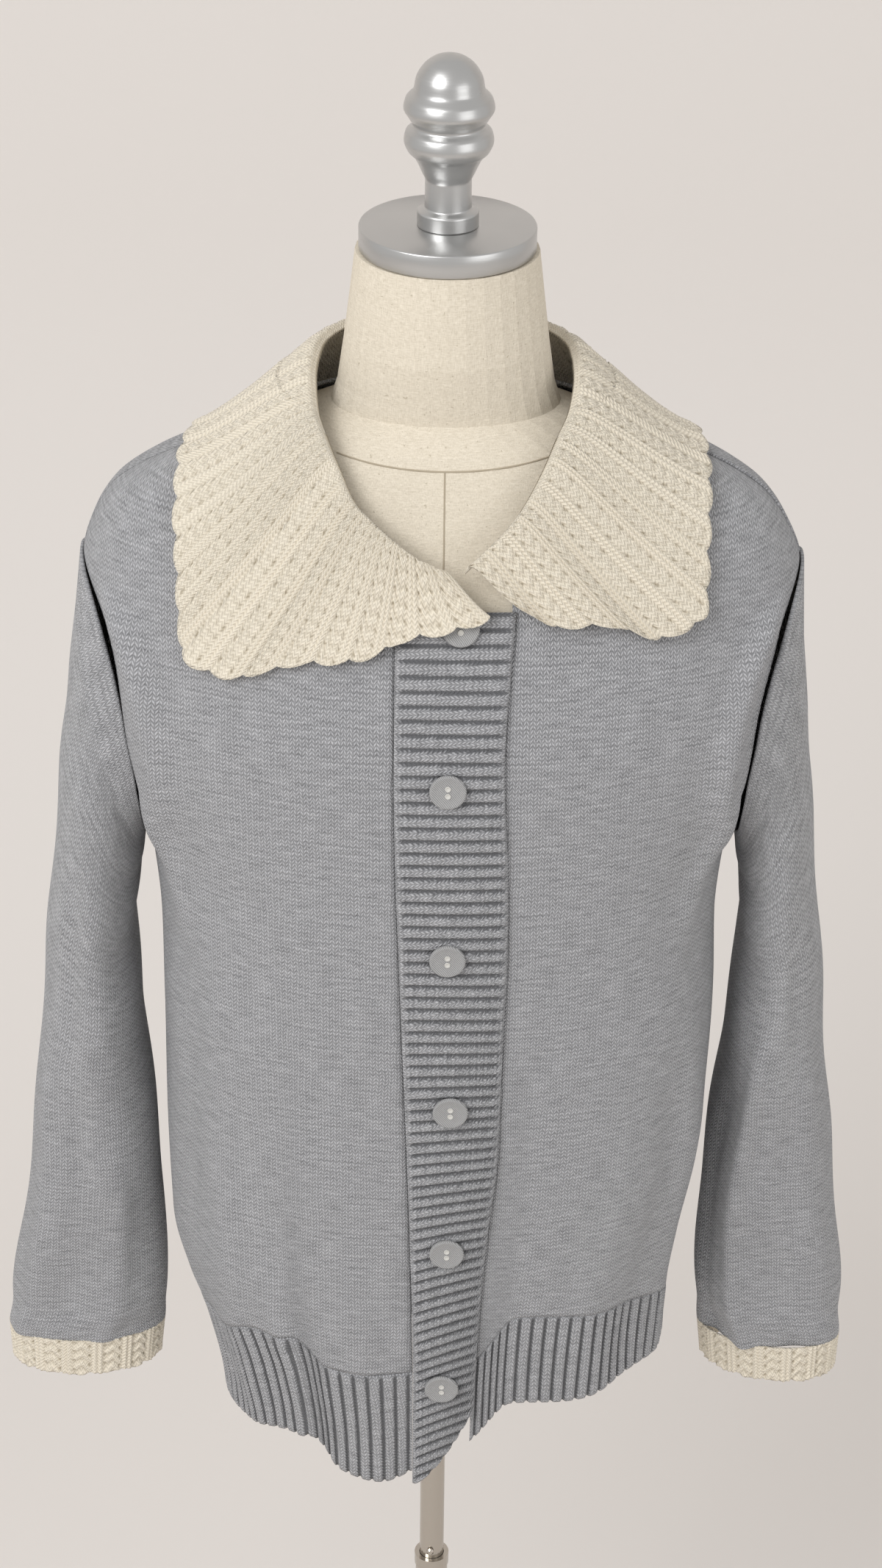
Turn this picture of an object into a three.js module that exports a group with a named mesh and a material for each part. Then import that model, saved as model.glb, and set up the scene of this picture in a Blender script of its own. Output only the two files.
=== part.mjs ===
// A button-front knitted cardigan with a wide collar, worn by a limbless dress form on a round foot.
// Millimetres, +Z up. The origin is on the floor under the pole; the front faces -Y.
import * as THREE from 'three';

// ---------------------------------------------------------------- driving dimensions
const CLOTH = 2.0;                // thickness of the plain knit
const SEAM = 0.3;                 // gap left at every sewn seam
const SEAM_ANGLE = 0.12;          // degrees that each panel stops short of the side seam
const CHEST_TOP = 1346;           // height of the neck point of the shoulder seam
const SHOULDER_Z = 1240;          // height of the shoulder tip, where the sleeve seam starts
const UNDERARM_Z = 1058;          // height of the underarm point
const ARMHOLE_FRONT = 64;         // how far the armhole reaches forward of the side seam
const ARMHOLE_BACK = 60;          // and how far back
const CUFF_HEIGHT = 27;
const BAND_LEFT = -27;            // seam of the button band at the top
const BAND_LIFT = 2.0;            // how far the button band stands proud of the fronts
const BAND_THICK = 2.4;
const BAND_COVER = 3;             // how far its free edge covers the seam beneath
const UNDER_BAND_DROP = 1.2;      // how far the under band and its front lie below the other front
const UNDER_BAND_THICK = 2.0;
const COLLAR_THICK = 2.6;
const COLLAR_CROWN = 9;           // rise of the fall just outside its roll
const COLLAR_GAP = 1.7;           // clearance between collar and panels
const FORM_GAP_BACK = 1.9;        // clearance between the form and the cloth it carries
const FORM_GAP_FRONT = 2.2;
const BUTTON_RADIUS = 10.7;
const BUTTON_HEIGHT = 3.2;
const BUTTON_GAP = 0.8;           // clears the curve of the band under a flat button
const ARMHOLE_GAP = 1.9;          // clears the facets of the armhole
const BAND_SEAM = 1.2;            // gap between the under band's seam edge and its front

// Outer face of the cloth, in level sections: half widths to the right (-X) and left (+X) of the
// wearer, reach to the front and to the back, and the roundness of the section.
const TORSO_COLUMNS = ['z', 'right', 'left', 'front', 'back', 'round'];
const TORSO = [
  [600, 137, 150, 101, 96, 2.5],
  [650, 140, 152, 104, 98, 2.5],
  [700, 150, 153, 108, 100, 2.5],
  [740, 163, 155, 111, 101, 2.5],
  [780, 171, 160, 113, 101, 2.5],
  [860, 172, 171, 116, 100, 2.5],
  [940, 172, 172, 118, 98, 2.5],
  [1000, 171, 171, 120, 97, 2.4],
  [1050, 175, 175, 121, 97, 2.3],
  [1075, 183, 183, 121, 98, 2.25],
  [1110, 197, 197, 121, 99, 2.2],
  [1150, 209, 209, 120, 100, 2.2],
  [1200, 214, 214, 112, 98, 2.2],
  [1240, 211, 209, 98, 92, 2.2],
  [1262, 204, 200, 88, 86, 2.2],
  [1280, 193, 188, 79, 79, 2.2],
  [1294, 174, 170, 72, 72, 2.2],
  [1308, 143, 143, 66, 65, 2.2],
  [1322, 112, 112, 60, 57, 2.1],
  [1334, 86, 86, 54, 50, 2.0],
  [1346, 70, 70, 48, 46, 2.0],
];

// Lower edge of the panels and of the hem band, by the angle round the body: 0 at the centre
// front, +90 at the wearer's left side, 180 at the centre back.
const HEM_COLUMNS = ['angle', 'ribTop', 'hem'];
const HEM = [
  [-180, 722, 642],
  [-120, 716, 638],
  [-90, 716, 634],
  [-60, 718, 637],
  [-42, 732, 645],
  [-30, 734, 648],
  [-22, 712, 622],
  [-10, 711, 618],
  [5, 722, 650],
  [14, 757, 684],
  [30, 753, 679],
  [60, 742, 686],
  [90, 728, 684],
  [120, 726, 662],
  [180, 722, 642],
];

// Inner edge of the panels above the chest: half width of the neck opening at each height.
const NECKLINE_COLUMNS = ['z', 'halfWidth'];
const NECKLINE = [
  [1236, 27],
  [1250, 32],
  [1275, 46],
  [1300, 59],
  [1320, 68],
  [1334, 73],
  [1341, 74],
];

// The free and the sewn edge of the button band, by height.
const BAND_COLUMNS = ['z', 'sewnX', 'freeX'];
const BAND = [
  [618, -13, 22],
  [700, -13, 23],
  [760, -14, 25],
  [825, -16, 29],
  [885, -18, 34],
  [985, -22, 36],
  [1040, -24, 37],
  [1095, -26, 36],
  [1160, -27, 33],
  [1246, -27, 38],
];

const BUTTONS = [
  { z: 1238, x: 10, turn: 0, sink: 0 },
  { z: 1146, x: 4, turn: 0, sink: 0 },
  { z: 1033, x: 5, turn: 0, sink: 0 },
  { z: 923, x: 8, turn: 8, sink: 0 },
  { z: 815, x: 7, turn: -18, sink: 0 },
  { z: 704, x: 5, turn: -24, sink: 0 },
];

// Sleeve sections below the armhole: the point furthest out, the point next to the body, and the
// middle and half depth of the section from front to back.
const SLEEVE_COLUMNS = ['outX', 'outZ', 'inX', 'inZ', 'midY', 'halfDepth'];
const SLEEVE_RIGHT = [
  [217, 1205, 181, 1044, 2, 60],
  [224, 1155, 183, 1028, 3, 60],
  [231, 1095, 187, 1006, 4, 62],
  [240, 1015, 189, 970, 4, 60],
  [248, 940, 186, 922, 2, 54],
  [257, 850, 181, 850, 0, 45],
  [268, 765, 177, 770, -1, 36],
  [280, 695, 177, 698, -2, 29],
  [282, 669, 180, 673, -2, 27],
];
const SLEEVE_LEFT = [
  [214, 1190, 181, 1044, 4, 60],
  [221, 1130, 183, 1028, 8, 60],
  [228, 1060, 187, 1004, 11, 62],
  [238, 980, 187, 964, 14, 58],
  [246, 900, 182, 900, 15, 52],
  [255, 825, 176, 830, 15, 45],
  [264, 750, 172, 755, 12, 37],
  [270, 690, 173, 698, 8, 31],
  [270, 662, 176, 672, 6, 28],
];

// The collar from its front end on the wearer's right, round the back, to the other front end:
// the roll line along its neck opening, and the outer edge that lies on the shoulders.
const COLLAR_COLUMNS = ['rollX', 'rollY', 'rollZ', 'edgeX', 'edgeY', 'edgeZ'];
const COLLAR = [
  [-2, -98, 1268, 28, -104, 1247],
  [-16, -93, 1275, -12, -106, 1238],
  [-29, -88, 1285, -46, -108, 1224],
  [-40, -81, 1294, -88, -104, 1216],
  [-50, -75, 1304, -122, -97, 1205],
  [-58, -66, 1319, -147, -86, 1214],
  [-65, -54, 1332, -150, -66, 1258],
  [-71, -38, 1343, -151, -30, 1301],
  [-73, -12, 1353, -147, 8, 1306],
  [-70, 14, 1359, -135, 44, 1302],
  [-56, 36, 1363, -102, 80, 1278],
  [-30, 52, 1364, -55, 96, 1262],
  [0, 58, 1364, 0, 101, 1256],
  [30, 52, 1364, 55, 96, 1262],
  [56, 36, 1363, 102, 80, 1278],
  [70, 14, 1359, 135, 44, 1302],
  [72, -12, 1354, 147, 6, 1306],
  [69, -38, 1345, 150, -30, 1301],
  [61, -54, 1332, 149, -60, 1272],
  [54, -66, 1319, 147, -78, 1240],
  [45, -75, 1304, 122, -92, 1230],
  [36, -82, 1292, 94, -96, 1240],
  [24, -89, 1280, 66, -100, 1241],
  [12, -96, 1270, 44, -100, 1250],
];
const FIRST_LAP_LIFT = 5.4;       // the first front end lies over the second one
const LAP_STATIONS = 2.2;         // and comes down to the body within this many rows of the table

// The dress form: half width, front, back and roundness of its level sections.
const FORM_COLUMNS = ['z', 'side', 'front', 'back', 'round'];
const FORM_LOWER = [
  [742, 128, 84, 80, 2.3],
  [748, 140, 94, 88, 2.3],
  [790, 148, 100, 94, 2.3],
  [860, 142, 96, 90, 2.3],
  [960, 118, 88, 80, 2.2],
  [1040, 128, 98, 86, 2.2],
  [1110, 150, 114, 92, 2.1],
  [1160, 164, 114, 94, 2.1],
];
const FORM_NECK = [
  [1336, 66, 44, 43, 2.0],
  [1348, 62, 46, 44, 2.0],
  [1372, 58.5, 50, 47, 2.0],
  [1400, 55, 50, 50, 2.0],
  [1426, 52, 49, 49, 2.0],
];

const NECK_TOP = 1426;
const CAP_RADIUS = 50;
const CAP_TOP = 1440;
const CAP_HEIGHT = 13.5;
const FINIAL_BASE = CAP_TOP + SEAM;
const FINIAL_COLUMNS = ['radius', 'height'];
const FINIAL = [
  [17.3, 0], [17.3, 8], [16, 9.5], [13.2, 10], [13, 26], [15, 31], [19.2, 39.5], [23, 43.5],
  [25, 49], [24, 54], [20.4, 58], [22.4, 62], [25.3, 67.5], [24.2, 72.5], [19.8, 78], [18.6, 84],
  [14.6, 91], [8, 96], [0, 98],
];

const UPPER_POLE_RADIUS = 8.3;
const LOWER_POLE_RADIUS = 11;
const POLE_WALL = 1.5;
const POLE_JOINT_Z = 468;
const POLE_OVERLAP = 120;
const RIM_HEIGHT = 9;
const BASE_RADIUS = 165;
const BASE_HEIGHT = 12;
const SOCKET_RADIUS = 19;
const SOCKET_HEIGHT = 34;

// ---------------------------------------------------------------- materials
function finish(color, roughness, metalness) {
  return new THREE.MeshStandardMaterial({ color, roughness, metalness });
}
const GREY_KNIT = finish(0x9a9a9d, 0.95, 0);
const CREAM_KNIT = finish(0xded3bd, 0.95, 0);
const BUTTON_CLOTH = finish(0x8f9092, 0.8, 0);
const LINEN = finish(0xdcd2c0, 0.9, 0);
const BRUSHED = finish(0xa9a9aa, 0.35, 1);
const NICKEL = finish(0x9d968c, 0.25, 1);
const PAINTED_BASE = finish(0xb9b9b8, 0.4, 1);

// ---------------------------------------------------------------- tables
const clamp = (value, low, high) => Math.min(high, Math.max(low, value));
const radians = (degrees) => degrees * Math.PI / 180;

// Value of one column of a table at a position along its key column, on a smooth curve that
// never overshoots its rows.
function lookUp(rows, column, at, key = 0) {
  const last = rows.length - 1;
  if (at <= rows[0][key]) return rows[0][column];
  if (at >= rows[last][key]) return rows[last][column];
  let row = 0;
  while (rows[row + 1][key] < at) row += 1;
  const slope = (i) => (rows[i + 1][column] - rows[i][column]) / (rows[i + 1][key] - rows[i][key]);
  const tangent = (i) => {
    if (i === 0) return slope(0);
    if (i === last) return slope(last - 1);
    const before = slope(i - 1);
    const after = slope(i);
    return before * after <= 0 ? 0 : 2 * before * after / (before + after);
  };
  const span = rows[row + 1][key] - rows[row][key];
  const t = (at - rows[row][key]) / span;
  const startWeight = (1 + 2 * t) * (1 - t) ** 2;
  const endWeight = t * t * (3 - 2 * t);
  return startWeight * rows[row][column] + t * (1 - t) ** 2 * span * tangent(row)
    + endWeight * rows[row + 1][column] - t * t * (1 - t) * span * tangent(row + 1);
}

// Rows numbered from 0, so that a table without a key column can be looked up by row number.
const numbered = (rows) => rows.map((row, index) => [index, ...row]);

// ---------------------------------------------------------------- shells and solids
// A closed mesh from two grids of points, the outer and the inner face of a wall. Grids are
// lists of rows. A wrapped grid closes on itself along each row.
function wall(outer, inner, wrapped = false) {
  const rows = outer.length;
  const columns = outer[0].length;
  const positions = [];
  for (const grid of [outer, inner]) {
    for (const row of grid) {
      for (const point of row) positions.push(point.x, point.y, point.z);
    }
  }
  const at = (face, row, column) => face * rows * columns + row * columns + (column % columns);
  const indices = [];
  const quad = (a, b, c, d) => indices.push(a, b, c, a, c, d);
  const spans = wrapped ? columns : columns - 1;
  for (let r = 0; r < rows - 1; r += 1) {
    for (let c = 0; c < spans; c += 1) {
      quad(at(0, r, c), at(0, r, c + 1), at(0, r + 1, c + 1), at(0, r + 1, c));
      quad(at(1, r, c), at(1, r + 1, c), at(1, r + 1, c + 1), at(1, r, c + 1));
    }
  }
  for (let c = 0; c < spans; c += 1) {
    quad(at(1, 0, c), at(1, 0, c + 1), at(0, 0, c + 1), at(0, 0, c));
    quad(at(0, rows - 1, c), at(0, rows - 1, c + 1), at(1, rows - 1, c + 1), at(1, rows - 1, c));
  }
  if (!wrapped) {
    const end = columns - 1;
    for (let r = 0; r < rows - 1; r += 1) {
      quad(at(0, r, 0), at(0, r + 1, 0), at(1, r + 1, 0), at(1, r, 0));
      quad(at(1, r, end), at(1, r + 1, end), at(0, r + 1, end), at(0, r, end));
    }
  }
  return outwardGeometry(positions, indices);
}

// A solid through closed rings, with a fan over each end.
function loft(rings) {
  const columns = rings[0].length;
  const positions = [];
  for (const ring of rings) {
    for (const point of ring) positions.push(point.x, point.y, point.z);
  }
  const indices = [];
  for (let r = 0; r < rings.length - 1; r += 1) {
    for (let c = 0; c < columns; c += 1) {
      const next = (c + 1) % columns;
      const a = r * columns + c;
      const b = r * columns + next;
      const above = (r + 1) * columns;
      indices.push(a, b, above + next, a, above + next, above + c);
    }
  }
  for (const [ring, turn] of [[0, false], [rings.length - 1, true]]) {
    const middle = positions.length / 3;
    const centre = new THREE.Vector3();
    for (const point of rings[ring]) centre.add(point);
    centre.divideScalar(columns);
    positions.push(centre.x, centre.y, centre.z);
    for (let c = 0; c < columns; c += 1) {
      const a = ring * columns + c;
      const b = ring * columns + (c + 1) % columns;
      if (turn) indices.push(a, b, middle);
      else indices.push(b, a, middle);
    }
  }
  return outwardGeometry(positions, indices);
}

// Six times the signed volume is positive when the faces point out; otherwise all are turned.
function outwardGeometry(positions, indices) {
  let volume = 0;
  const p = (i) => new THREE.Vector3(positions[3 * i], positions[3 * i + 1], positions[3 * i + 2]);
  for (let i = 0; i < indices.length; i += 3) {
    volume += p(indices[i]).dot(p(indices[i + 1]).cross(p(indices[i + 2])));
  }
  if (volume < 0) {
    for (let i = 0; i < indices.length; i += 3) {
      [indices[i + 1], indices[i + 2]] = [indices[i + 2], indices[i + 1]];
    }
  }
  const geometry = new THREE.BufferGeometry();
  geometry.setAttribute('position', new THREE.Float32BufferAttribute(positions, 3));
  geometry.setIndex(indices);
  geometry.computeVertexNormals();
  return geometry;
}

const model = new THREE.Group();
function addPiece(name, geometry, material) {
  const mesh = new THREE.Mesh(geometry, material);
  mesh.name = name;
  model.add(mesh);
  return mesh;
}

// ---------------------------------------------------------------- the body surface
function torsoSection(z) {
  const [right, left, front, back, round] = [1, 2, 3, 4, 5].map((i) => lookUp(TORSO, i, z));
  return { right, left, front, back, round };
}

// Ratio of a point's distance from the axis to the surface's, less one: negative inside.
function torsoField(point) {
  const s = torsoSection(point.z);
  const across = Math.abs(point.x) / (point.x < 0 ? s.right : s.left);
  const along = Math.abs(point.y) / (point.y < 0 ? s.front : s.back);
  return (across ** s.round + along ** s.round) ** (1 / s.round) - 1;
}

function torsoGradient(point) {
  const step = 0.5;
  const gradient = new THREE.Vector3();
  for (const axis of ['x', 'y', 'z']) {
    const ahead = point.clone();
    const behind = point.clone();
    ahead[axis] += step;
    behind[axis] -= step;
    gradient[axis] = (torsoField(ahead) - torsoField(behind)) / (2 * step);
  }
  return gradient;
}

// The point moved square to the surface until it lies at a height over it.
function atHeight(point, height) {
  const moved = point.clone();
  for (let pass = 0; pass < 6; pass += 1) {
    const gradient = torsoGradient(moved);
    const size = gradient.length();
    const away = torsoField(moved) / size;
    moved.addScaledVector(gradient, (height - away) / size);
  }
  return moved;
}

const heightOver = (point) => torsoField(point) / torsoGradient(point).length();

// Point of the outer surface at a height and an x, on the front or the back.
function facePoint(x, z, side) {
  const s = torsoSection(z);
  const half = x < 0 ? s.right : s.left;
  const reach = side < 0 ? s.front : s.back;
  const ratio = clamp(Math.abs(x) / half, 0, 1);
  const y = reach * (1 - ratio ** s.round) ** (1 / s.round);
  return new THREE.Vector3(x, side * y, z);
}

// Point of the outer surface at an angle round the body, evenly spread along the section.
function roundPoint(angle, z) {
  const s = torsoSection(z);
  const half = angle < 0 ? s.right : s.left;
  const turn = radians(Math.abs(angle));
  const reach = Math.cos(turn) > 0 ? s.front : s.back;
  const across = Math.abs(Math.sin(turn)) ** (2 / s.round) * half;
  const along = Math.abs(Math.cos(turn)) ** (2 / s.round) * reach;
  return new THREE.Vector3(Math.sign(angle) * across, -Math.sign(Math.cos(turn)) * along, z);
}

// The angle of a point of given x, or of given y, on the section at height z.
function angleOfX(x, z) {
  const s = torsoSection(z);
  const ratio = clamp(Math.abs(x) / (x < 0 ? s.right : s.left), 0, 1);
  return Math.sign(x) * Math.asin(ratio ** (s.round / 2)) * 180 / Math.PI;
}
function angleOfY(y, z) {
  const s = torsoSection(z);
  const ratio = clamp(Math.abs(y) / (y < 0 ? s.front : s.back), 0, 1);
  const fromSide = Math.asin(ratio ** (s.round / 2)) * 180 / Math.PI;
  return y < 0 ? 90 - fromSide : 90 + fromSide;
}

const armholeMiddle = (SHOULDER_Z + UNDERARM_Z) / 2;
const armholeHalf = (SHOULDER_Z - UNDERARM_Z) / 2;

// Angle at which a panel ends at height z, on the side seam, the armhole or the shoulder seam.
function panelEnd(z, side) {
  const level = (z - armholeMiddle) / armholeHalf;
  if (Math.abs(level) >= 1) return 90;
  const reach = side < 0 ? -ARMHOLE_FRONT : ARMHOLE_BACK;
  return angleOfY(reach * Math.sqrt(1 - level * level), z);
}

// Heights of the rows of a panel between its rib and the neck, closer at the ends of the armhole.
function panelHeights(top) {
  const heights = [0, 0.2, 0.4, 0.6, 0.8];
  const lower = heights.map((part) => ({ part }));
  const armhole = [0, 20, 40, 62, 90, 118, 140, 160, 180].map((turn) => ({
    z: armholeMiddle - armholeHalf * Math.cos(radians(turn)),
  }));
  const shoulder = [1256, 1272, 1287, 1300, 1312, 1323, 1333, 1341].filter((z) => z <= top);
  return [...lower, ...armhole, ...shoulder.map((z) => ({ z }))];
}

// Wall thickness is taken square to the surface; a lowered layer starts beneath the surface.
function clothWall(grid, thickness, drop = 0) {
  const outer = grid.map((row) => row.map((point) => (drop === 0 ? point : atHeight(point, -drop))));
  const inner = outer.map((row) => row.map((point) => atHeight(point, -drop - thickness)));
  return wall(outer, inner);
}

// ---------------------------------------------------------------- panels
const MID = 1;
function hemHeight(angle, column) {
  return lookUp(HEM, HEM_COLUMNS.indexOf(column), angle);
}

function bandEdge(z, column) {
  return lookUp(BAND, BAND_COLUMNS.indexOf(column), z);
}

function necklineHalf(z) {
  return lookUp(NECKLINE, MID, z);
}

// One row of a front, from the band seam or the neck opening to the side, as angles.
function frontSpan(z, sign) {
  const neck = z > NECKLINE[0][0];
  let x = bandEdge(z, sign < 0 ? 'sewnX' : 'freeX');
  if (sign < 0) x -= SEAM;
  else x += BAND_SEAM;
  if (neck) x = sign * Math.max(necklineHalf(z), Math.abs(x));
  return { start: Math.abs(angleOfX(x, z)), end: panelEnd(z, -1) };
}

// Angles shared by the foot of a front and the top of its rib.
function frontFootAngle(sign, part) {
  const start = frontSpan(BAND[0][0], sign).start;
  return start + (90 - SEAM_ANGLE - start) * part;
}

const FRONT_COLUMNS = 14;
function frontGrid(sign) {
  return panelHeights(CHEST_TOP).map((row) => {
    const points = [];
    for (let c = 0; c <= FRONT_COLUMNS; c += 1) {
      const part = c / FRONT_COLUMNS;
      const footAngle = frontFootAngle(sign, part);
      const foot = hemHeight(sign * footAngle, 'ribTop') + SEAM;
      const z = row.z ?? foot + (UNDERARM_Z - foot) * row.part;
      const span = frontSpan(z, sign);
      const seam = (z > SHOULDER_Z - 1 || z < UNDERARM_Z + 1) ? SEAM_ANGLE : 0;
      const ownAngle = span.start + (span.end - seam - span.start) * part;
      points.push(roundPoint(sign * ownAngle, z));
    }
    return points;
  });
}

function backGrid() {
  const columns = 22;
  return panelHeights(CHEST_TOP).map((row) => {
    const points = [];
    for (let c = 0; c <= columns; c += 1) {
      const part = 2 * c / columns - 1;
      let z = row.z;
      if (z === undefined) {
        const foot = hemHeight((part < 0 ? -1 : 1) * (180 - 90 * Math.abs(part)), 'ribTop') + SEAM;
        z = foot + (UNDERARM_Z - foot) * row.part;
      }
      const seam = (z > SHOULDER_Z - 1 || z < UNDERARM_Z + 1) ? SEAM_ANGLE : 0;
      const end = panelEnd(z, 1) + seam;
      const away = (180 - end) * Math.abs(part);
      points.push(roundPoint((part < 0 ? -1 : 1) * (180 - away), z));
    }
    return points;
  });
}

// The back runs up to a level back neck; the fronts' upper rows stop at the neck opening.
const BACK_NECK_Z = 1334;
function backPanel() {
  const grid = backGrid().filter((row) => row[0].z <= BACK_NECK_Z);
  return clothWall(grid, CLOTH);
}

addPiece('back', backPanel(), GREY_KNIT);
addPiece('front_right', clothWall(frontGrid(-1), CLOTH), GREY_KNIT);
addPiece('front_left', clothWall(frontGrid(1), CLOTH, UNDER_BAND_DROP), GREY_KNIT);

// ---------------------------------------------------------------- hem band
function hemWall(angles, drop) {
  const grid = [0, 0.5, 1].map((part) => angles.map((angle) => {
    const low = hemHeight(angle, 'hem');
    const high = hemHeight(angle, 'ribTop');
    const z = low + (high - low) * part;
    return roundPoint(Math.abs(angle) < 90 ? followBand(angle, z) : angle, z);
  }));
  return clothWall(grid, CLOTH, drop);
}

function spread(from, to, count) {
  return Array.from({ length: count + 1 }, (_, i) => from + (to - from) * i / count);
}

const frontHemAngles = (sign) => (
  spread(0, 1, FRONT_COLUMNS).map((part) => sign * frontFootAngle(sign, part)));

// The angle of a front's hem at a height, so that its edge keeps beside the band.
function followBand(angle, z) {
  const sign = Math.sign(angle);
  const atFoot = frontSpan(BAND[0][0], sign).start;
  const start = frontSpan(z, sign).start;
  const part = (Math.abs(angle) - atFoot) / (90 - SEAM_ANGLE - atFoot);
  return sign * (start + (90 - SEAM_ANGLE - start) * part);
}
addPiece('hem_front_right', hemWall(frontHemAngles(-1), 0), GREY_KNIT);
addPiece('hem_front_left', hemWall(frontHemAngles(1), UNDER_BAND_DROP), GREY_KNIT);
const backHemAngles = spread(SEAM_ANGLE - 90, 90 - SEAM_ANGLE, 22).map((away) => (away < 0 ? -180 - away : 180 - away));
addPiece('hem_back', hemWall(backHemAngles, 0), GREY_KNIT);

// ---------------------------------------------------------------- button bands
function bandGrid(height, first, last, low, high) {
  const steps = 26;
  const across = 3;
  const grid = [];
  for (let r = 0; r <= steps; r += 1) {
    const row = [];
    for (let c = 0; c <= across; c += 1) {
      const share = r / steps;
      const part = c / across;
      const start = low(part);
      const z = start + (high - start) * share;
      const left = first(z);
      const right = last(z);
      row.push(atHeight(facePoint(left + (right - left) * part, z, -1), height));
    }
    grid.push(row);
  }
  return grid;
}
const BAND_TOP_Z = 1246;
const bandFoot = (part) => 618 + 66 * part ** 1.6;
const topBand = (height) => bandGrid(
  height,
  (z) => bandEdge(z, 'sewnX'),
  (z) => bandEdge(z, 'freeX') + BAND_COVER,
  bandFoot,
  BAND_TOP_Z,
);
addPiece('button_band', wall(topBand(BAND_LIFT), topBand(BAND_LIFT - BAND_THICK)), GREY_KNIT);
const underBand = (height) => bandGrid(
  height,
  (z) => bandEdge(z, 'sewnX') + 4,
  (z) => bandEdge(z, 'freeX'),
  (part) => 640 + 46 * part,
  1236,
);
const underOuter = -UNDER_BAND_DROP;
addPiece(
  'under_band',
  wall(underBand(underOuter), underBand(underOuter - UNDER_BAND_THICK)),
  GREY_KNIT,
);

// ---------------------------------------------------------------- sleeves and cuffs
const SLEEVE_SIDES = 18;

// The armhole seam as a ring of points on the body surface, from the shoulder round by the front.
function armholeRing(sign, lift) {
  const ring = [];
  for (let i = 0; i < SLEEVE_SIDES; i += 1) {
    const turn = 2 * Math.PI * i / SLEEVE_SIDES;
    const z = armholeMiddle + armholeHalf * Math.cos(turn);
    const forward = Math.sin(turn) >= 0;
    const y = forward ? -ARMHOLE_FRONT * Math.sin(turn) : -ARMHOLE_BACK * Math.sin(turn);
    const point = roundPoint(sign * angleOfY(y, z), z);
    point.x += sign * lift;
    ring.push(point);
  }
  return ring;
}

function sleeveRing(row, sign, inset) {
  const [outX, outZ, inX, inZ, midY, halfDepth] = row;
  const ring = [];
  for (let i = 0; i < SLEEVE_SIDES; i += 1) {
    const turn = 2 * Math.PI * i / SLEEVE_SIDES;
    const along = Math.cos(turn);
    const halfX = (outX - inX) / 2 - inset;
    const x = (outX + inX) / 2 + halfX * along;
    const y = midY - (halfDepth - inset) * Math.sin(turn);
    const z = (outZ + inZ) / 2 + (outZ - inZ) / 2 * along;
    ring.push(new THREE.Vector3(sign * x, y, z));
  }
  return ring;
}

function sleeve(sign, table) {
  const outer = [armholeRing(sign, ARMHOLE_GAP)];
  const inner = [armholeRing(sign, ARMHOLE_GAP)];
  const centre = new THREE.Vector3(0, -2, armholeMiddle);
  inner[0].forEach((point) => {
    const toCentre = new THREE.Vector3(0, centre.y - point.y, centre.z - point.z).normalize();
    point.addScaledVector(toCentre, CLOTH);
  });
  for (const row of table) {
    outer.push(sleeveRing(row, sign, 0));
    inner.push(sleeveRing(row, sign, CLOTH));
  }
  return wall(outer, inner, true);
}
addPiece('sleeve_right', sleeve(-1, SLEEVE_RIGHT), GREY_KNIT);
addPiece('sleeve_left', sleeve(1, SLEEVE_LEFT), GREY_KNIT);

// A cuff carries on below the last section of its sleeve.
function cuff(sign, table) {
  const last = table[table.length - 1];
  const outer = [];
  const inner = [];
  for (const drop of [SEAM, CUFF_HEIGHT / 2, CUFF_HEIGHT]) {
    const narrow = drop / CUFF_HEIGHT;
    const row = [last[0] - narrow, last[1] - drop, last[2] + 3 * narrow, last[3] - drop, last[4], last[5]];
    outer.push(sleeveRing(row, sign, 0));
    inner.push(sleeveRing(row, sign, CLOTH));
  }
  return wall(outer, inner, true);
}
addPiece('cuff_right', cuff(-1, SLEEVE_RIGHT), CREAM_KNIT);
addPiece('cuff_left', cuff(1, SLEEVE_LEFT), CREAM_KNIT);

// ---------------------------------------------------------------- collar
const COLLAR_STEPS = 50;
const COLLAR_ACROSS = 7;

// The way that the collar's outer face looks: out from the neck at the roll, then off the body.
function collarNormal(point, part) {
  const offBody = torsoGradient(point).normalize();
  const outward = new THREE.Vector3(point.x, point.y, 0).normalize();
  outward.z = 0.9;
  const roll = Math.max(0, 1 - 3 * part);
  return offBody.multiplyScalar(1 - roll).addScaledVector(outward.normalize(), roll).normalize();
}

// One section of the collar, from the roll to the outer edge.
function collarSection(station, height) {
  const rows = numbered(COLLAR);
  const value = (column) => lookUp(rows, 1 + COLLAR_COLUMNS.indexOf(column), station);
  const roll = new THREE.Vector3(value('rollX'), value('rollY'), value('rollZ'));
  const edge = new THREE.Vector3(value('edgeX'), value('edgeY'), value('edgeZ'));
  const lap = FIRST_LAP_LIFT * (1 - THREE.MathUtils.smoothstep(station, 0.8, LAP_STATIONS));
  const clear = COLLAR_GAP + lap;
  const points = [];
  for (let i = 0; i <= COLLAR_ACROSS; i += 1) {
    const part = i / COLLAR_ACROSS;
    const point = roll.clone().lerp(edge, part);
    point.z += COLLAR_CROWN * Math.sin(Math.PI * Math.sqrt(part)) * (1 - part);
    const low = heightOver(point) < clear;
    const laid = low ? atHeight(point, clear) : point;
    points.push(laid.addScaledVector(collarNormal(laid, part), height));
  }
  return points;
}

function collar() {
  const last = COLLAR.length - 1;
  const outer = [];
  const inner = [];
  for (let step = 0; step <= COLLAR_STEPS; step += 1) {
    const station = last * step / COLLAR_STEPS;
    outer.push(collarSection(station, COLLAR_THICK));
    inner.push(collarSection(station, 0));
  }
  return wall(outer, inner);
}
addPiece('collar', collar(), CREAM_KNIT);

// ---------------------------------------------------------------- buttons
function buttonProfile() {
  const r = BUTTON_RADIUS;
  const h = BUTTON_HEIGHT;
  const points = [[0, 0], [r - 1.2, 0], [r, h * 0.4], [r - 0.2, h * 0.75], [r - 1.2, h], [r - 2.2, h * 0.85],
    [0, h * 0.72]];
  return points.map(([x, y]) => new THREE.Vector2(x, y));
}

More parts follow.
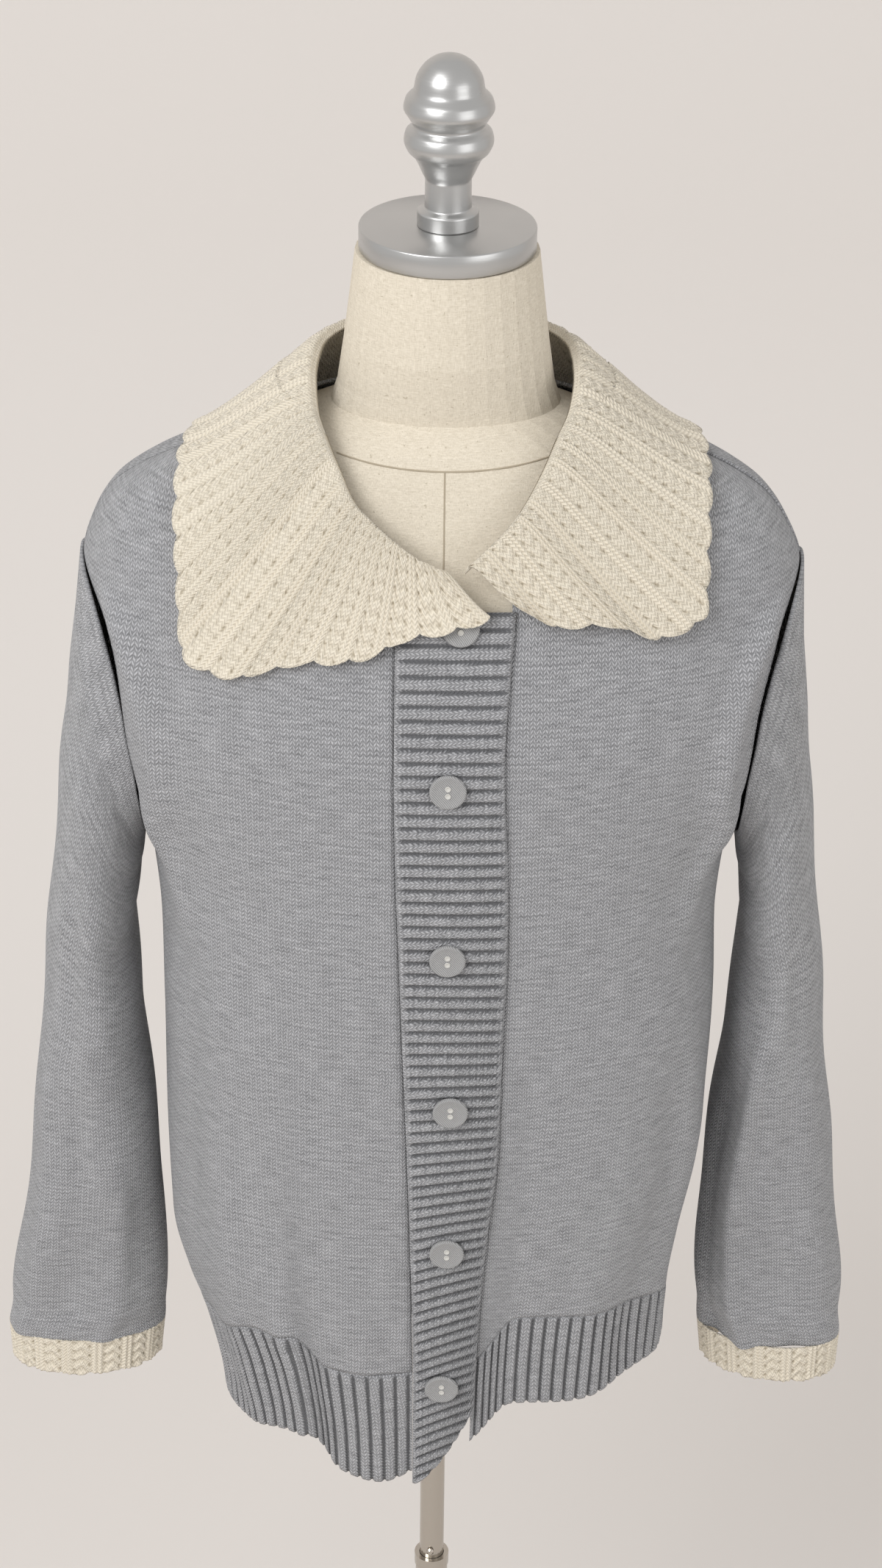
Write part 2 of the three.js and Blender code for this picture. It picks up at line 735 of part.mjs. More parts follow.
function solidLathe(profile, sides) {
  const rings = profile.filter((point) => point.x > 0).map((point) => {
    const ring = [];
    for (let i = 0; i < sides; i += 1) {
      const turn = 2 * Math.PI * i / sides;
      ring.push(new THREE.Vector3(point.x * Math.cos(turn), point.x * Math.sin(turn), point.y));
    }
    return ring;
  });
  return loft(rings);
}

BUTTONS.forEach((button, index) => {
  const geometry = solidLathe(buttonProfile(), 20);
  const mesh = addPiece(`button_${index + 1}`, geometry, BUTTON_CLOTH);
  const seat = atHeight(facePoint(button.x, button.z, -1), BAND_LIFT + BUTTON_GAP);
  const normal = torsoGradient(seat).normalize();
  mesh.quaternion.setFromUnitVectors(new THREE.Vector3(0, 0, 1), normal);
  mesh.position.copy(seat);
});

// ---------------------------------------------------------------- dress form
const FORM_SIDES = 32;
function formRing(z, right, left, front, back, round) {
  const ring = [];
  for (let i = 0; i < FORM_SIDES; i += 1) {
    const turn = 2 * Math.PI * i / FORM_SIDES;
    const half = Math.sin(turn) < 0 ? right : left;
    const reach = Math.cos(turn) > 0 ? front : back;
    const x = Math.sign(Math.sin(turn)) * Math.abs(Math.sin(turn)) ** (2 / round) * half;
    const y = -Math.sign(Math.cos(turn)) * Math.abs(Math.cos(turn)) ** (2 / round) * reach;
    ring.push(new THREE.Vector3(x, y, z));
  }
  return ring;
}

// The torso follows the cloth from the inside at the shoulders and carries on up as the neck.
function formTorso() {
  const rings = FORM_LOWER.map(([z, side, front, back, round]) => (
    formRing(z, side, side, front, back, round)));
  for (const z of [1205, 1240, 1258, 1272, 1284, 1295, 1305, 1315, 1324]) {
    const s = torsoSection(z);
    const squeeze = z < 1272 ? 24 * ((1272 - z) / 67) : 0;
    const ring = formRing(z, s.right - squeeze, s.left - squeeze, s.front, s.back, s.round);
    rings.push(ring.map((point) => {
      const gap = point.y < 0 ? FORM_GAP_FRONT : FORM_GAP_BACK;
      return atHeight(point, Math.min(heightOver(point), 0) - CLOTH - gap);
    }));
  }
  for (const [z, side, front, back, round] of FORM_NECK) {
    rings.push(formRing(z, side, side, front, back, round));
  }
  return loft(rings);
}
addPiece('form_torso', formTorso(), LINEN);

// ---------------------------------------------------------------- cap, finial, pole and foot
function lathePiece(name, profile, sides, material, z = 0) {
  const points = profile.map(([radius, height]) => new THREE.Vector2(radius, height));
  const mesh = addPiece(name, solidLathe(points, sides), material);
  mesh.position.z = z;
  return mesh;
}

lathePiece('neck_cap', [
  [CAP_RADIUS - 0.6, CAP_TOP - CAP_HEIGHT],
  [CAP_RADIUS, CAP_TOP - CAP_HEIGHT + 0.6],
  [CAP_RADIUS, CAP_TOP - 0.6],
  [CAP_RADIUS - 0.6, CAP_TOP],
], 48, BRUSHED);
lathePiece('finial', FINIAL.slice(0, -1).concat([[1.5, 97.8]]), 28, BRUSHED, FINIAL_BASE);

function tube(name, outerRadius, innerRadius, low, high, material) {
  const ring = (radius, z) => {
    const points = [];
    for (let i = 0; i < 24; i += 1) {
      const turn = 2 * Math.PI * i / 24;
      points.push(new THREE.Vector3(radius * Math.cos(turn), radius * Math.sin(turn), z));
    }
    return points;
  };
  const outer = [ring(outerRadius, low), ring(outerRadius, high)];
  const inner = [ring(innerRadius, low), ring(innerRadius, high)];
  return addPiece(name, wall(outer, inner, true), material);
}

const poleTop = FORM_LOWER[0][0] - SEAM;
const upperWall = UPPER_POLE_RADIUS - POLE_WALL;
tube('upper_pole', UPPER_POLE_RADIUS, upperWall, POLE_JOINT_Z - POLE_OVERLAP, poleTop, NICKEL);
const lowerTop = POLE_JOINT_Z - SEAM;
const lowerBore = UPPER_POLE_RADIUS + SEAM;
tube('lower_pole', LOWER_POLE_RADIUS, lowerBore, BASE_HEIGHT + SEAM, lowerTop - RIM_HEIGHT, NICKEL);
tube('pole_collar', LOWER_POLE_RADIUS + 0.8, lowerBore, lowerTop - RIM_HEIGHT + SEAM, lowerTop, NICKEL);

const springButton = lathePiece('spring_button', [[2.6, 0], [2.6, 1.2], [1.6, 2.2]], 12, NICKEL);
springButton.rotation.x = Math.PI / 2;
springButton.position.set(-1, -(UPPER_POLE_RADIUS + SEAM), POLE_JOINT_Z + 7);

lathePiece('base_plate', [
  [BASE_RADIUS - 2, 0],
  [BASE_RADIUS, 2],
  [BASE_RADIUS, BASE_HEIGHT - 4],
  [BASE_RADIUS - 5, BASE_HEIGHT],
], 56, PAINTED_BASE);
tube(
  'base_socket',
  SOCKET_RADIUS,
  LOWER_POLE_RADIUS + SEAM,
  BASE_HEIGHT + SEAM,
  BASE_HEIGHT + SOCKET_HEIGHT,
  PAINTED_BASE,
);

export default model;
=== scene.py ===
# A grey knitted cardigan with a cream lace-knit collar on a dress form: surfaces, materials,
# light and camera. Metres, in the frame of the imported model; tables are in millimetres.
import math

import bpy
import numpy as np
from mathutils import Euler, Matrix, Vector


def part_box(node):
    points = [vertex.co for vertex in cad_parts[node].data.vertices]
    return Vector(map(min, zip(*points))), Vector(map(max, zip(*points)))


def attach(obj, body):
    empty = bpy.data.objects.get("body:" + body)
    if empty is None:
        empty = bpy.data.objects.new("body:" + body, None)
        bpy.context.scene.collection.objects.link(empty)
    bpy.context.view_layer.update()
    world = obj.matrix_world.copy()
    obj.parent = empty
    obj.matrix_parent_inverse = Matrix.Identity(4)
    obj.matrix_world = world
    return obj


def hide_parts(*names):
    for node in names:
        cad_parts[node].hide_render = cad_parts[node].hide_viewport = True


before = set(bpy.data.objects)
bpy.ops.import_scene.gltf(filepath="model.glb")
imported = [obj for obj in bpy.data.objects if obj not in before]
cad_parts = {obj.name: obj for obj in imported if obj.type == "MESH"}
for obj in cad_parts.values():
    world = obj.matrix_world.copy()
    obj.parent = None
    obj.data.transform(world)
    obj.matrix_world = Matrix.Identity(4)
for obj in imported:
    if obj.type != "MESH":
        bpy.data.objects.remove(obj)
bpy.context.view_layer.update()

MM = 0.001
CLOTH = 2.0              # thickness of the plain knit
SHOULDER_Z = 1240.0
UNDERARM_Z = 1058.0
ARMHOLE_FRONT = 64.0
ARMHOLE_BACK = 60.0
ARMHOLE_MIDDLE = (SHOULDER_Z + UNDERARM_Z) / 2
ARMHOLE_HALF = (SHOULDER_Z - UNDERARM_Z) / 2
ARMHOLE_GAP = 1.9
CUFF_HEIGHT = 27.0
BAND_LIFT = 2.0
UNDER_BAND_DROP = 1.2
BAND_SEAM = 1.2
BAND_COVER = 3.0
COLLAR_CROWN = 9.0
BUTTON_GAP = 0.8
SEAM = 0.3
SEAM_ANGLE = 0.12
COLLAR_THICK = 2.6
COLLAR_GAP = 1.7
FIRST_LAP_LIFT = 5.4
LAP_STATIONS = 2.2
WALE = 3.7               # width of one stitch
COURSE = 2.6             # height of one stitch
RIB_PITCH = 8.3          # ribs of the hem and the button band
RIB_DEPTH = 2.2
BAND_FOOT = 618          # lower edge of the button band at its sewn side
BAND_FOOT_RISE = 66      # how much higher its free side ends
BAND_TOP = 1246
UNDER_BAND_FOOT = 640
UNDER_BAND_FOOT_RISE = 46
UNDER_BAND_TOP = 1236
BAND_FOLD_SHARE = 0.5    # how much of the body's creases the bands take
NECK_TOP = 1341          # top row of the fronts
BACK_NECK_TOP = 1333     # top row of the back
CUFF_LANES = 15
COLLAR_LANES = 46
COLLAR_LANE_WIDTH = 17.0

# Rows and columns of the grids.
PANEL_LOW_ROWS = 110
PANEL_HIGH_ROWS = 150
ARMHOLE_ROWS = 70
FRONT_COLUMNS = 64
BACK_COLUMNS = 150
HEM_ROWS = 26
FRONT_HEM_COLUMNS = 420
BACK_HEM_COLUMNS = 700
BAND_ROWS = 620
BAND_COLUMNS = 26
SLEEVE_ROWS = 200
SLEEVE_HEAD_ROWS = 14
SLEEVE_COLUMNS = 141
CUFF_ROWS = 28
CUFF_COLUMNS = 361
COLLAR_STATIONS = 920
COLLAR_COLUMNS = 44
FINIAL_ROWS = 160

# Level sections of the cloth: z, right, left, front, back, round.
TORSO = np.array([
    [600, 137, 150, 101, 96, 2.5], [650, 140, 152, 104, 98, 2.5], [700, 150, 153, 108, 100, 2.5],
    [740, 163, 155, 111, 101, 2.5], [780, 171, 160, 113, 101, 2.5], [860, 172, 171, 116, 100, 2.5],
    [940, 172, 172, 118, 98, 2.5], [1000, 171, 171, 120, 97, 2.4], [1050, 175, 175, 121, 97, 2.3],
    [1075, 183, 183, 121, 98, 2.25], [1110, 197, 197, 121, 99, 2.2], [1150, 209, 209, 120, 100, 2.2],
    [1200, 214, 214, 112, 98, 2.2], [1240, 211, 209, 98, 92, 2.2], [1262, 204, 200, 88, 86, 2.2],
    [1280, 193, 188, 79, 79, 2.2], [1294, 174, 170, 72, 72, 2.2], [1308, 143, 143, 66, 65, 2.2],
    [1322, 112, 112, 60, 57, 2.1], [1334, 86, 86, 54, 50, 2.0], [1346, 70, 70, 48, 46, 2.0],
])
# Angle round the body, top of the hem rib, lower edge of the hem.
HEM = np.array([
    [-180, 722, 642], [-120, 716, 638], [-90, 716, 634], [-60, 718, 637], [-42, 732, 645],
    [-30, 734, 648], [-22, 712, 622], [-10, 711, 618], [5, 722, 650], [14, 757, 684],
    [30, 753, 679], [60, 742, 686], [90, 728, 684], [120, 726, 662], [180, 722, 642],
])
# Height, half width of the neck opening.
NECKLINE = np.array([[1236, 27], [1250, 32], [1275, 46], [1300, 59], [1320, 68], [1334, 73], [1341, 74]])
# Height, sewn edge and free edge of the button band.
BAND = np.array([
    [618, -13, 22], [700, -13, 23], [760, -14, 25], [825, -16, 29], [885, -18, 34],
    [985, -22, 36], [1040, -24, 37], [1095, -26, 36], [1160, -27, 33], [1246, -27, 38],
])
# Sleeve sections: outX, outZ, inX, inZ, midY, halfDepth.
SLEEVE_RIGHT = np.array([
    [217, 1205, 181, 1044, 2, 60], [224, 1155, 183, 1028, 3, 60], [231, 1095, 187, 1006, 4, 62],
    [240, 1015, 189, 970, 4, 60], [248, 940, 186, 922, 2, 54], [257, 850, 181, 850, 0, 45],
    [268, 765, 177, 770, -1, 36], [280, 695, 177, 698, -2, 29], [282, 669, 180, 673, -2, 27],
])
SLEEVE_LEFT = np.array([
    [214, 1190, 181, 1044, 4, 60], [221, 1130, 183, 1028, 8, 60], [228, 1060, 187, 1004, 11, 62],
    [238, 980, 187, 964, 14, 58], [246, 900, 182, 900, 15, 52], [255, 825, 176, 830, 15, 45],
    [264, 750, 172, 755, 12, 37], [270, 690, 173, 698, 8, 31], [270, 662, 176, 672, 6, 28],
])
# Collar: rollX, rollY, rollZ, edgeX, edgeY, edgeZ.
COLLAR = np.array([
    [-2, -98, 1268, 28, -104, 1247], [-16, -93, 1275, -12, -106, 1238],
    [-29, -88, 1285, -46, -108, 1224], [-40, -81, 1294, -88, -104, 1216],
    [-50, -75, 1304, -122, -97, 1205], [-58, -66, 1319, -147, -86, 1214],
    [-65, -54, 1332, -150, -66, 1258], [-71, -38, 1343, -151, -30, 1301],
    [-73, -12, 1353, -147, 8, 1306], [-70, 14, 1359, -135, 44, 1302],
    [-56, 36, 1363, -102, 80, 1278], [-30, 52, 1364, -55, 96, 1262], [0, 58, 1364, 0, 101, 1256],
    [30, 52, 1364, 55, 96, 1262], [56, 36, 1363, 102, 80, 1278], [70, 14, 1359, 135, 44, 1302],
    [72, -12, 1354, 147, 6, 1306], [69, -38, 1345, 150, -30, 1301],
    [61, -54, 1332, 149, -60, 1272], [54, -66, 1319, 147, -78, 1240],
    [45, -75, 1304, 122, -92, 1230], [36, -82, 1292, 94, -96, 1240],
    [24, -89, 1280, 66, -100, 1241], [12, -96, 1270, 44, -100, 1250],
])
# Height and x of each button.
BUTTONS = [(1238, 10), (1146, 4), (1033, 5), (923, 8), (815, 7), (704, 5)]
# Creases: angle round the body, top, bottom, half width in degrees, depth (troughs negative).
BODY_FOLDS = [
    (-62, 1050, 700, 7, -3.0), (-48, 900, 650, 6, 3.0), (-33, 800, 615, 5, 5.0),
    (-24, 790, 610, 4, -6.0), (-14, 820, 610, 6, 3.0), (38, 860, 680, 7, 2.5), (52, 980, 700, 6, -3.0),
    (66, 1000, 690, 6, 3.0), (-100, 900, 640, 8, 4.0), (-128, 1000, 640, 9, -4.0),
    (-150, 960, 640, 8, 4.0), (172, 900, 640, 9, -3.5), (140, 1020, 640, 9, 4.0),
    (112, 900, 640, 7, -4.0), (-60, 1230, 1040, 5, 5.0), (60, 1230, 1040, 5, 5.0),
]


# ------------------------------------------------------------------ tables
def look_up(table, column, at, key=0):
    """Smooth values of a column at positions along the key column, never overshooting."""
    xs, ys = table[:, key].astype(float), table[:, column].astype(float)
    at = np.clip(np.asarray(at, float), xs[0], xs[-1])
    spans = np.diff(xs)
    slopes = np.diff(ys) / spans
    tangents = np.empty_like(ys)
    tangents[0], tangents[-1] = slopes[0], slopes[-1]
    product = slopes[:-1] * slopes[1:]
    total = slopes[:-1] + slopes[1:]
    safe = np.where(total == 0, 1, total)
    tangents[1:-1] = np.where(product <= 0, 0, 2 * product / safe)
    row = np.clip(np.searchsorted(xs, at, side="right") - 1, 0, len(xs) - 2)
    t = (at - xs[row]) / spans[row]
    return (
        (1 + 2 * t) * (1 - t) ** 2 * ys[row]
        + t * (1 - t) ** 2 * spans[row] * tangents[row]
        + t * t * (3 - 2 * t) * ys[row + 1]
        - t * t * (1 - t) * spans[row] * tangents[row + 1]
    )


def numbered(table):
    return np.column_stack([np.arange(len(table)), table])


def smooth(low, high, value):
    t = np.clip((value - low) / (high - low), 0, 1)
    return t * t * (3 - 2 * t)


# ------------------------------------------------------------------ body surface
def section(z):
    return [look_up(TORSO, column, z) for column in range(1, 6)]


def field(p):
    right, left, front, back, power = section(p[..., 2])
    across = np.abs(p[..., 0]) / np.where(p[..., 0] < 0, right, left)
    along = np.abs(p[..., 1]) / np.where(p[..., 1] < 0, front, back)
    return (across ** power + along ** power) ** (1 / power) - 1


def gradient(p, step=0.5):
    result = np.zeros_like(p)
    for axis in range(3):
        shift = np.zeros(3)
        shift[axis] = step
        result[..., axis] = (field(p + shift) - field(p - shift)) / (2 * step)
    return result


def height_over(p):
    return field(p) / np.linalg.norm(gradient(p), axis=-1)


def at_height(p, height):
    p = np.array(p, float)
    for _ in range(5):
        slope = gradient(p)
        size = np.linalg.norm(slope, axis=-1)
        p = p + slope * ((height - field(p) / size) / size)[..., None]
    return p


def round_point(angle, z):
    angle, z = np.broadcast_arrays(np.asarray(angle, float), np.asarray(z, float))
    right, left, front, back, power = section(z)
    turn = np.radians(np.abs(angle))
    half = np.where(angle < 0, right, left)
    reach = np.where(np.cos(turn) > 0, front, back)
    x = np.sign(angle) * np.abs(np.sin(turn)) ** (2 / power) * half
    y = -np.sign(np.cos(turn)) * np.abs(np.cos(turn)) ** (2 / power) * reach
    return np.stack([x, y, z], axis=-1)


def face_point(x, z):
    x, z = np.broadcast_arrays(np.asarray(x, float), np.asarray(z, float))
    right, left, front, back, power = section(z)
    ratio = np.clip(np.abs(x) / np.where(x < 0, right, left), 0, 1)
    return np.stack([x, -front * (1 - ratio ** power) ** (1 / power), z], axis=-1)


def angle_of_x(x, z):
    right, left, front, back, power = section(z)
    ratio = np.clip(np.abs(x) / np.where(x < 0, right, left), 0, 1)
    return np.degrees(np.arcsin(ratio ** (power / 2)))


def angle_of_y(y, z):
    right, left, front, back, power = section(z)
    ratio = np.clip(np.abs(y) / np.where(y < 0, front, back), 0, 1)
    from_side = np.degrees(np.arcsin(ratio ** (power / 2)))
    return np.where(y < 0, 90 - from_side, 90 + from_side)


def panel_end(z, side):
    level = np.clip((z - ARMHOLE_MIDDLE) / ARMHOLE_HALF, -1, 1)
    reach = -ARMHOLE_FRONT if side < 0 else ARMHOLE_BACK
    y = reach * np.sqrt(1 - level * level)
    return np.where(np.abs(level) >= 1, 90.0, angle_of_y(y - (0.001 if side < 0 else -0.001), z))


def folds(angle, z):
    """Height of the creases of the body at an angle and a height."""
    total = np.zeros(np.broadcast(angle, z).shape)
    for middle, top, bottom, width, depth in BODY_FOLDS:
        lean = 3.0 * np.sin(z / 70.0 + middle)
        away = (angle - middle - lean + 180) % 360 - 180
        length = smooth(bottom - 60, bottom + 30, z) * (1 - smooth(top - 0.45 * (top - bottom), top, z))
        total += depth * np.exp(-((away / width) ** 2)) * length
    total += 0.8 * np.sin(z / 37.0 + angle / 11.0) * np.sin(angle / 9.0 + z / 90.0)
    return total


# ------------------------------------------------------------------ meshes
def make_mesh(name, positions, faces, uv=None, attributes=None):
    mesh = bpy.data.meshes.new(name)
    mesh.from_pydata((positions * MM).tolist(), [], faces)
    if uv is not None:
        layer = mesh.uv_layers.new(name="knit")
        loops = np.empty(len(mesh.loops), dtype=np.int32)
        mesh.loops.foreach_get("vertex_index", loops)
        layer.data.foreach_set("uv", uv[loops].ravel().astype(np.float32))
    for key, values in (attributes or {}).items():
        attribute = mesh.attributes.new(key, "FLOAT", "POINT")
        attribute.data.foreach_set("value", values.astype(np.float32))
    mesh.polygons.foreach_set("use_smooth", [True] * len(mesh.polygons))
    mesh.update()
    piece = bpy.data.objects.new("made_" + name, mesh)
    bpy.context.scene.collection.objects.link(piece)
    return piece


def shell(name, outer, inner, uv, wrapped=False, attributes=None):
    """A closed thin wall between two grids of points. A wrapped grid repeats its first column."""
    rows, columns = outer.shape[:2]
    spans = columns - 1
    index = np.arange(rows * columns).reshape(rows, columns)
    a, b = index[:-1, :-1], index[:-1, 1:]
    c, d = index[1:, 1:], index[1:, :-1]
    front = np.stack([a, b, c, d], axis=-1).reshape(-1, 4)
    count = rows * columns
    back = front[:, ::-1] + count
    sides = []
    for r, turn in ((0, True), (rows - 1, False)):
        p, q = index[r, :-1], index[r, 1:]
        quad = np.stack([p, q, q + count, p + count], axis=-1)
        sides.append(quad[:, ::-1] if turn else quad)
    if not wrapped:
        for k, turn in ((0, False), (spans, True)):
            p, q = index[:-1, k], index[1:, k]
            quad = np.stack([p, q, q + count, p + count], axis=-1)
            sides.append(quad[:, ::-1] if turn else quad)
    faces = np.concatenate([front, back] + sides)
    positions = np.concatenate([outer.reshape(-1, 3), inner.reshape(-1, 3)])
    e1 = positions[faces[:, 1]] - positions[faces[:, 0]]
    e2 = positions[faces[:, 3]] - positions[faces[:, 0]]
    middle = positions[faces].mean(axis=1)
    if np.sum(np.cross(e1, e2) * middle) < 0:
        faces = faces[:, ::-1]
    doubled = np.concatenate([uv.reshape(-1, 2), uv.reshape(-1, 2)])
    extra = {k: np.concatenate([v.ravel(), v.ravel()]) for k, v in (attributes or {}).items()}
    piece = make_mesh(name, positions, faces.tolist(), doubled, extra)
    if wrapped:
        weld = piece.modifiers.new("weld", "WELD")
        weld.merge_threshold = 1e-6
    return piece


def grid_normals(points):
    along = np.gradient(points, axis=0)
    across = np.gradient(points, axis=1)
    normal = np.cross(across, along)
    size = np.linalg.norm(normal, axis=-1, keepdims=True)
    return normal / np.where(size < 1e-9, 1, size)


def grid_uv(points, from_centre_front=False):
    """Distances along the rows and up the columns, in millimetres, for the stitches."""
    u = np.zeros(points.shape[:2])
    u[:, 1:] = np.cumsum(np.linalg.norm(np.diff(points, axis=1), axis=-1), axis=1)
    v = np.zeros(points.shape[:2])
    v[1:, :] = np.cumsum(np.linalg.norm(np.diff(points, axis=0), axis=-1), axis=0)
    middle = u.shape[1] // 2
    if from_centre_front:
        u += np.abs(points[:, :1, 0])
    else:
        u -= u[:, middle:middle + 1]
    return np.stack([u, np.broadcast_to(v[:, middle:middle + 1], v.shape)], axis=-1)


def on_form(points, height, thickness):
    """A layer at a height over the body surface: its outer and inner points."""
    normal = gradient(points)
    normal /= np.linalg.norm(normal, axis=-1, keepdims=True)
    height = np.broadcast_to(height, points.shape[:2])[..., None]
    return points + normal * height, points + normal * (height - thickness)


# ------------------------------------------------------------------ materials
class Nodes:
    """Short names for building a material's nodes."""

    def __init__(self, name, color, roughness, metallic=0.0):
        self.material = bpy.data.materials.new(name)
        self.material.use_nodes = True
        self.tree = self.material.node_tree
        self.shader = self.tree.nodes["Principled BSDF"]
        self.shader.inputs["Base Color"].default_value = (*color, 1)
        self.shader.inputs["Roughness"].default_value = roughness
        self.shader.inputs["Metallic"].default_value = metallic
        self.material.diffuse_color = (*color, 1)

    def add(self, kind, **values):
        node = self.tree.nodes.new(kind)
        for key, value in values.items():
            setattr(node, key, value)
        return node

    def link(self, source, target):
        self.tree.links.new(source, target)

    def put(self, target, value):
        if isinstance(value, (int, float)):
            target.default_value = value
        else:
            self.link(value, target)

    def math(self, operation, a, b=0.0, c=0.0):
        node = self.add("ShaderNodeMath", operation=operation)
        for socket, value in zip(node.inputs, (a, b, c)):
            self.put(socket, value)
        return node.outputs[0]

    def noise(self, vector, scale, detail=3.0, roughness=0.5):
        node = self.add("ShaderNodeTexNoise")
        self.link(vector, node.inputs["Vector"])
        node.inputs["Scale"].default_value = scale
        node.inputs["Detail"].default_value = detail
        node.inputs["Roughness"].default_value = roughness
        return node.outputs["Fac"]

    def ramp(self, value, low, high, dark, light):
        node = self.add("ShaderNodeMapRange")
        node.data_type = "FLOAT_VECTOR"
        spread = self.add("ShaderNodeCombineXYZ")
        for socket in spread.inputs:
            self.put(socket, value)
        self.link(spread.outputs[0], node.inputs["Vector"])
        node.inputs[7].default_value = (low,) * 3
        node.inputs[8].default_value = (high,) * 3
        node.inputs[9].default_value = dark
        node.inputs[10].default_value = light
        return node.outputs["Vector"]

    def bump(self, height, distance, strength=1.0, normal=None):
        node = self.add("ShaderNodeBump")
        node.inputs["Strength"].default_value = strength
        node.inputs["Distance"].default_value = distance
        self.link(height, node.inputs["Height"])
        if normal is not None:
            self.link(normal, node.inputs["Normal"])
        return node.outputs["Normal"]


def knit_material(name, dark, light, wale=WALE, course=COURSE, depth=0.0016, streak=1.0):
    """Plain knit: columns of V stitches in a yarn of mixed tones, with painted shade between the loops
    and in the grooves of the ribs.
    """
    n = Nodes(name, light, 0.95)
    n.shader.inputs["Sheen Weight"].default_value = 0.25
    n.shader.inputs["Sheen Roughness"].default_value = 0.6
    n.shader.inputs["Specular IOR Level"].default_value = 0.15
    uv = n.add("ShaderNodeUVMap", uv_map="knit")
    split = n.add("ShaderNodeSeparateXYZ")
    n.link(uv.outputs[0], split.inputs[0])
    wobble = n.math("MULTIPLY_ADD", n.noise(uv.outputs[0], 0.05, 2.0), 0.8, -0.4)
    u = n.math("ADD", n.math("DIVIDE", split.outputs[0], wale), wobble)
    v = n.math("DIVIDE", split.outputs[1], course)
    across = n.math("ABSOLUTE", n.math("SUBTRACT", n.math("FRACT", u), 0.5))
    lean = n.math("MULTIPLY_ADD", across, -1.7, v)
    turn = n.math("SINE", n.math("MULTIPLY", lean, 2 * math.pi))
    loop = n.math("POWER", n.math("MULTIPLY_ADD", turn, 0.5, 0.5), 0.6)
    leg = n.math("SINE", n.math("MULTIPLY", across, 2 * math.pi))
    leg = n.math("POWER", n.math("MAXIMUM", leg, 0.0), 0.5)
    stitch = n.math("MULTIPLY", loop, leg)
    fuzz = n.noise(uv.outputs[0], 1.6, 4.0, 0.7)
    height = n.math("MULTIPLY_ADD", fuzz, 0.45, stitch)
    stretch = n.add("ShaderNodeMapping")
    stretch.inputs["Scale"].default_value = (0.07, 0.42, 1)
    n.link(uv.outputs[0], stretch.inputs["Vector"])
    yarn = n.noise(stretch.outputs[0], 1.0, 5.0, 0.65)
    flecks = n.noise(uv.outputs[0], 0.55, 4.0, 0.75)
    tone = n.math("MULTIPLY_ADD", flecks, 0.5, n.math("MULTIPLY", yarn, streak))
    # painted shade: the raised parts of the stitches are lighter and the hollows between them darker
    tone = n.math("MULTIPLY_ADD", stitch, 0.5, tone)
    # painted shade: darker in the grooves between the ribs, read from an attribute
    groove_shade = n.add("ShaderNodeAttribute", attribute_name="shaded_pit").outputs["Fac"]
    tone = n.math("SUBTRACT", tone, n.math("MULTIPLY", groove_shade, 0.75))
    low, high = 0.25 + 0.3 * streak, 0.75 + 0.55 * streak
    n.link(n.ramp(tone, low - 0.02, high + 0.15, dark, light), n.shader.inputs["Base Color"])
    n.link(n.bump(height, depth, 0.75), n.shader.inputs["Normal"])
    return n.material


def cream_material(name, dark, light):
    """Lace knit: the lanes are modelled, and the stitches of the yarn are here, with painted shade
    between the loops and in the eyelets.
    """
    n = Nodes(name, light, 0.95)
    n.shader.inputs["Sheen Weight"].default_value = 0.2
    n.shader.inputs["Specular IOR Level"].default_value = 0.15
    uv = n.add("ShaderNodeUVMap", uv_map="knit")
    split = n.add("ShaderNodeSeparateXYZ")
    n.link(uv.outputs[0], split.inputs[0])
    column = n.math("FRACT", n.math("DIVIDE", split.outputs[0], 3.0))
    across = n.math("ABSOLUTE", n.math("SUBTRACT", column, 0.5))
    lean = n.math("MULTIPLY_ADD", across, -1.6, n.math("DIVIDE", split.outputs[1], 2.6))
    turn = n.math("SINE", n.math("MULTIPLY", lean, 2 * math.pi))
    loop = n.math("POWER", n.math("MULTIPLY_ADD", turn, 0.5, 0.5), 0.6)
    fuzz = n.noise(uv.outputs[0], 1.8, 4.0, 0.7)
    height = n.math("MULTIPLY_ADD", fuzz, 0.6, loop)
    shaded_pit = n.add("ShaderNodeAttribute", attribute_name="shaded_pit").outputs["Fac"]
    # painted shade: raised loops lighter, eyelets and low parts darker
    tone = n.math("MULTIPLY_ADD", loop, 0.22, n.math("MULTIPLY", fuzz, 0.6))
    tone = n.math("SUBTRACT", n.math("ADD", tone, 0.3), n.math("MULTIPLY", shaded_pit, 0.9))
    n.link(n.ramp(tone, -0.25, 0.8, dark, light), n.shader.inputs["Base Color"])
    n.link(n.bump(height, 0.0008, 0.7), n.shader.inputs["Normal"])
    return n.material


def linen_material():
    """Plain-woven linen with fine slubs and dark flecks."""
    n = Nodes("linen", (0.72, 0.65, 0.53), 0.9)
    n.shader.inputs["Specular IOR Level"].default_value = 0.2
    where = n.add("ShaderNodeTexCoord").outputs["Object"]
    heights = []
    for stretch in ((300, 300, 1700), (1700, 1700, 300)):
        mapping = n.add("ShaderNodeMapping")
        mapping.inputs["Scale"].default_value = stretch
        n.link(where, mapping.inputs["Vector"])
        heights.append(n.noise(mapping.outputs[0], 1.0, 2.0))
    weave = n.math("ADD", heights[0], heights[1])
    fleck = n.math("GREATER_THAN", n.noise(where, 420.0, 1.0), 0.74)
    tone = n.math("SUBTRACT", weave, n.math("MULTIPLY", fleck, 0.6))
    n.link(n.ramp(tone, 0.3, 1.5, (0.52, 0.46, 0.36), (0.84, 0.77, 0.65)), n.shader.inputs["Base Color"])
    n.link(n.bump(weave, 0.0004, 0.5), n.shader.inputs["Normal"])
    return n.material


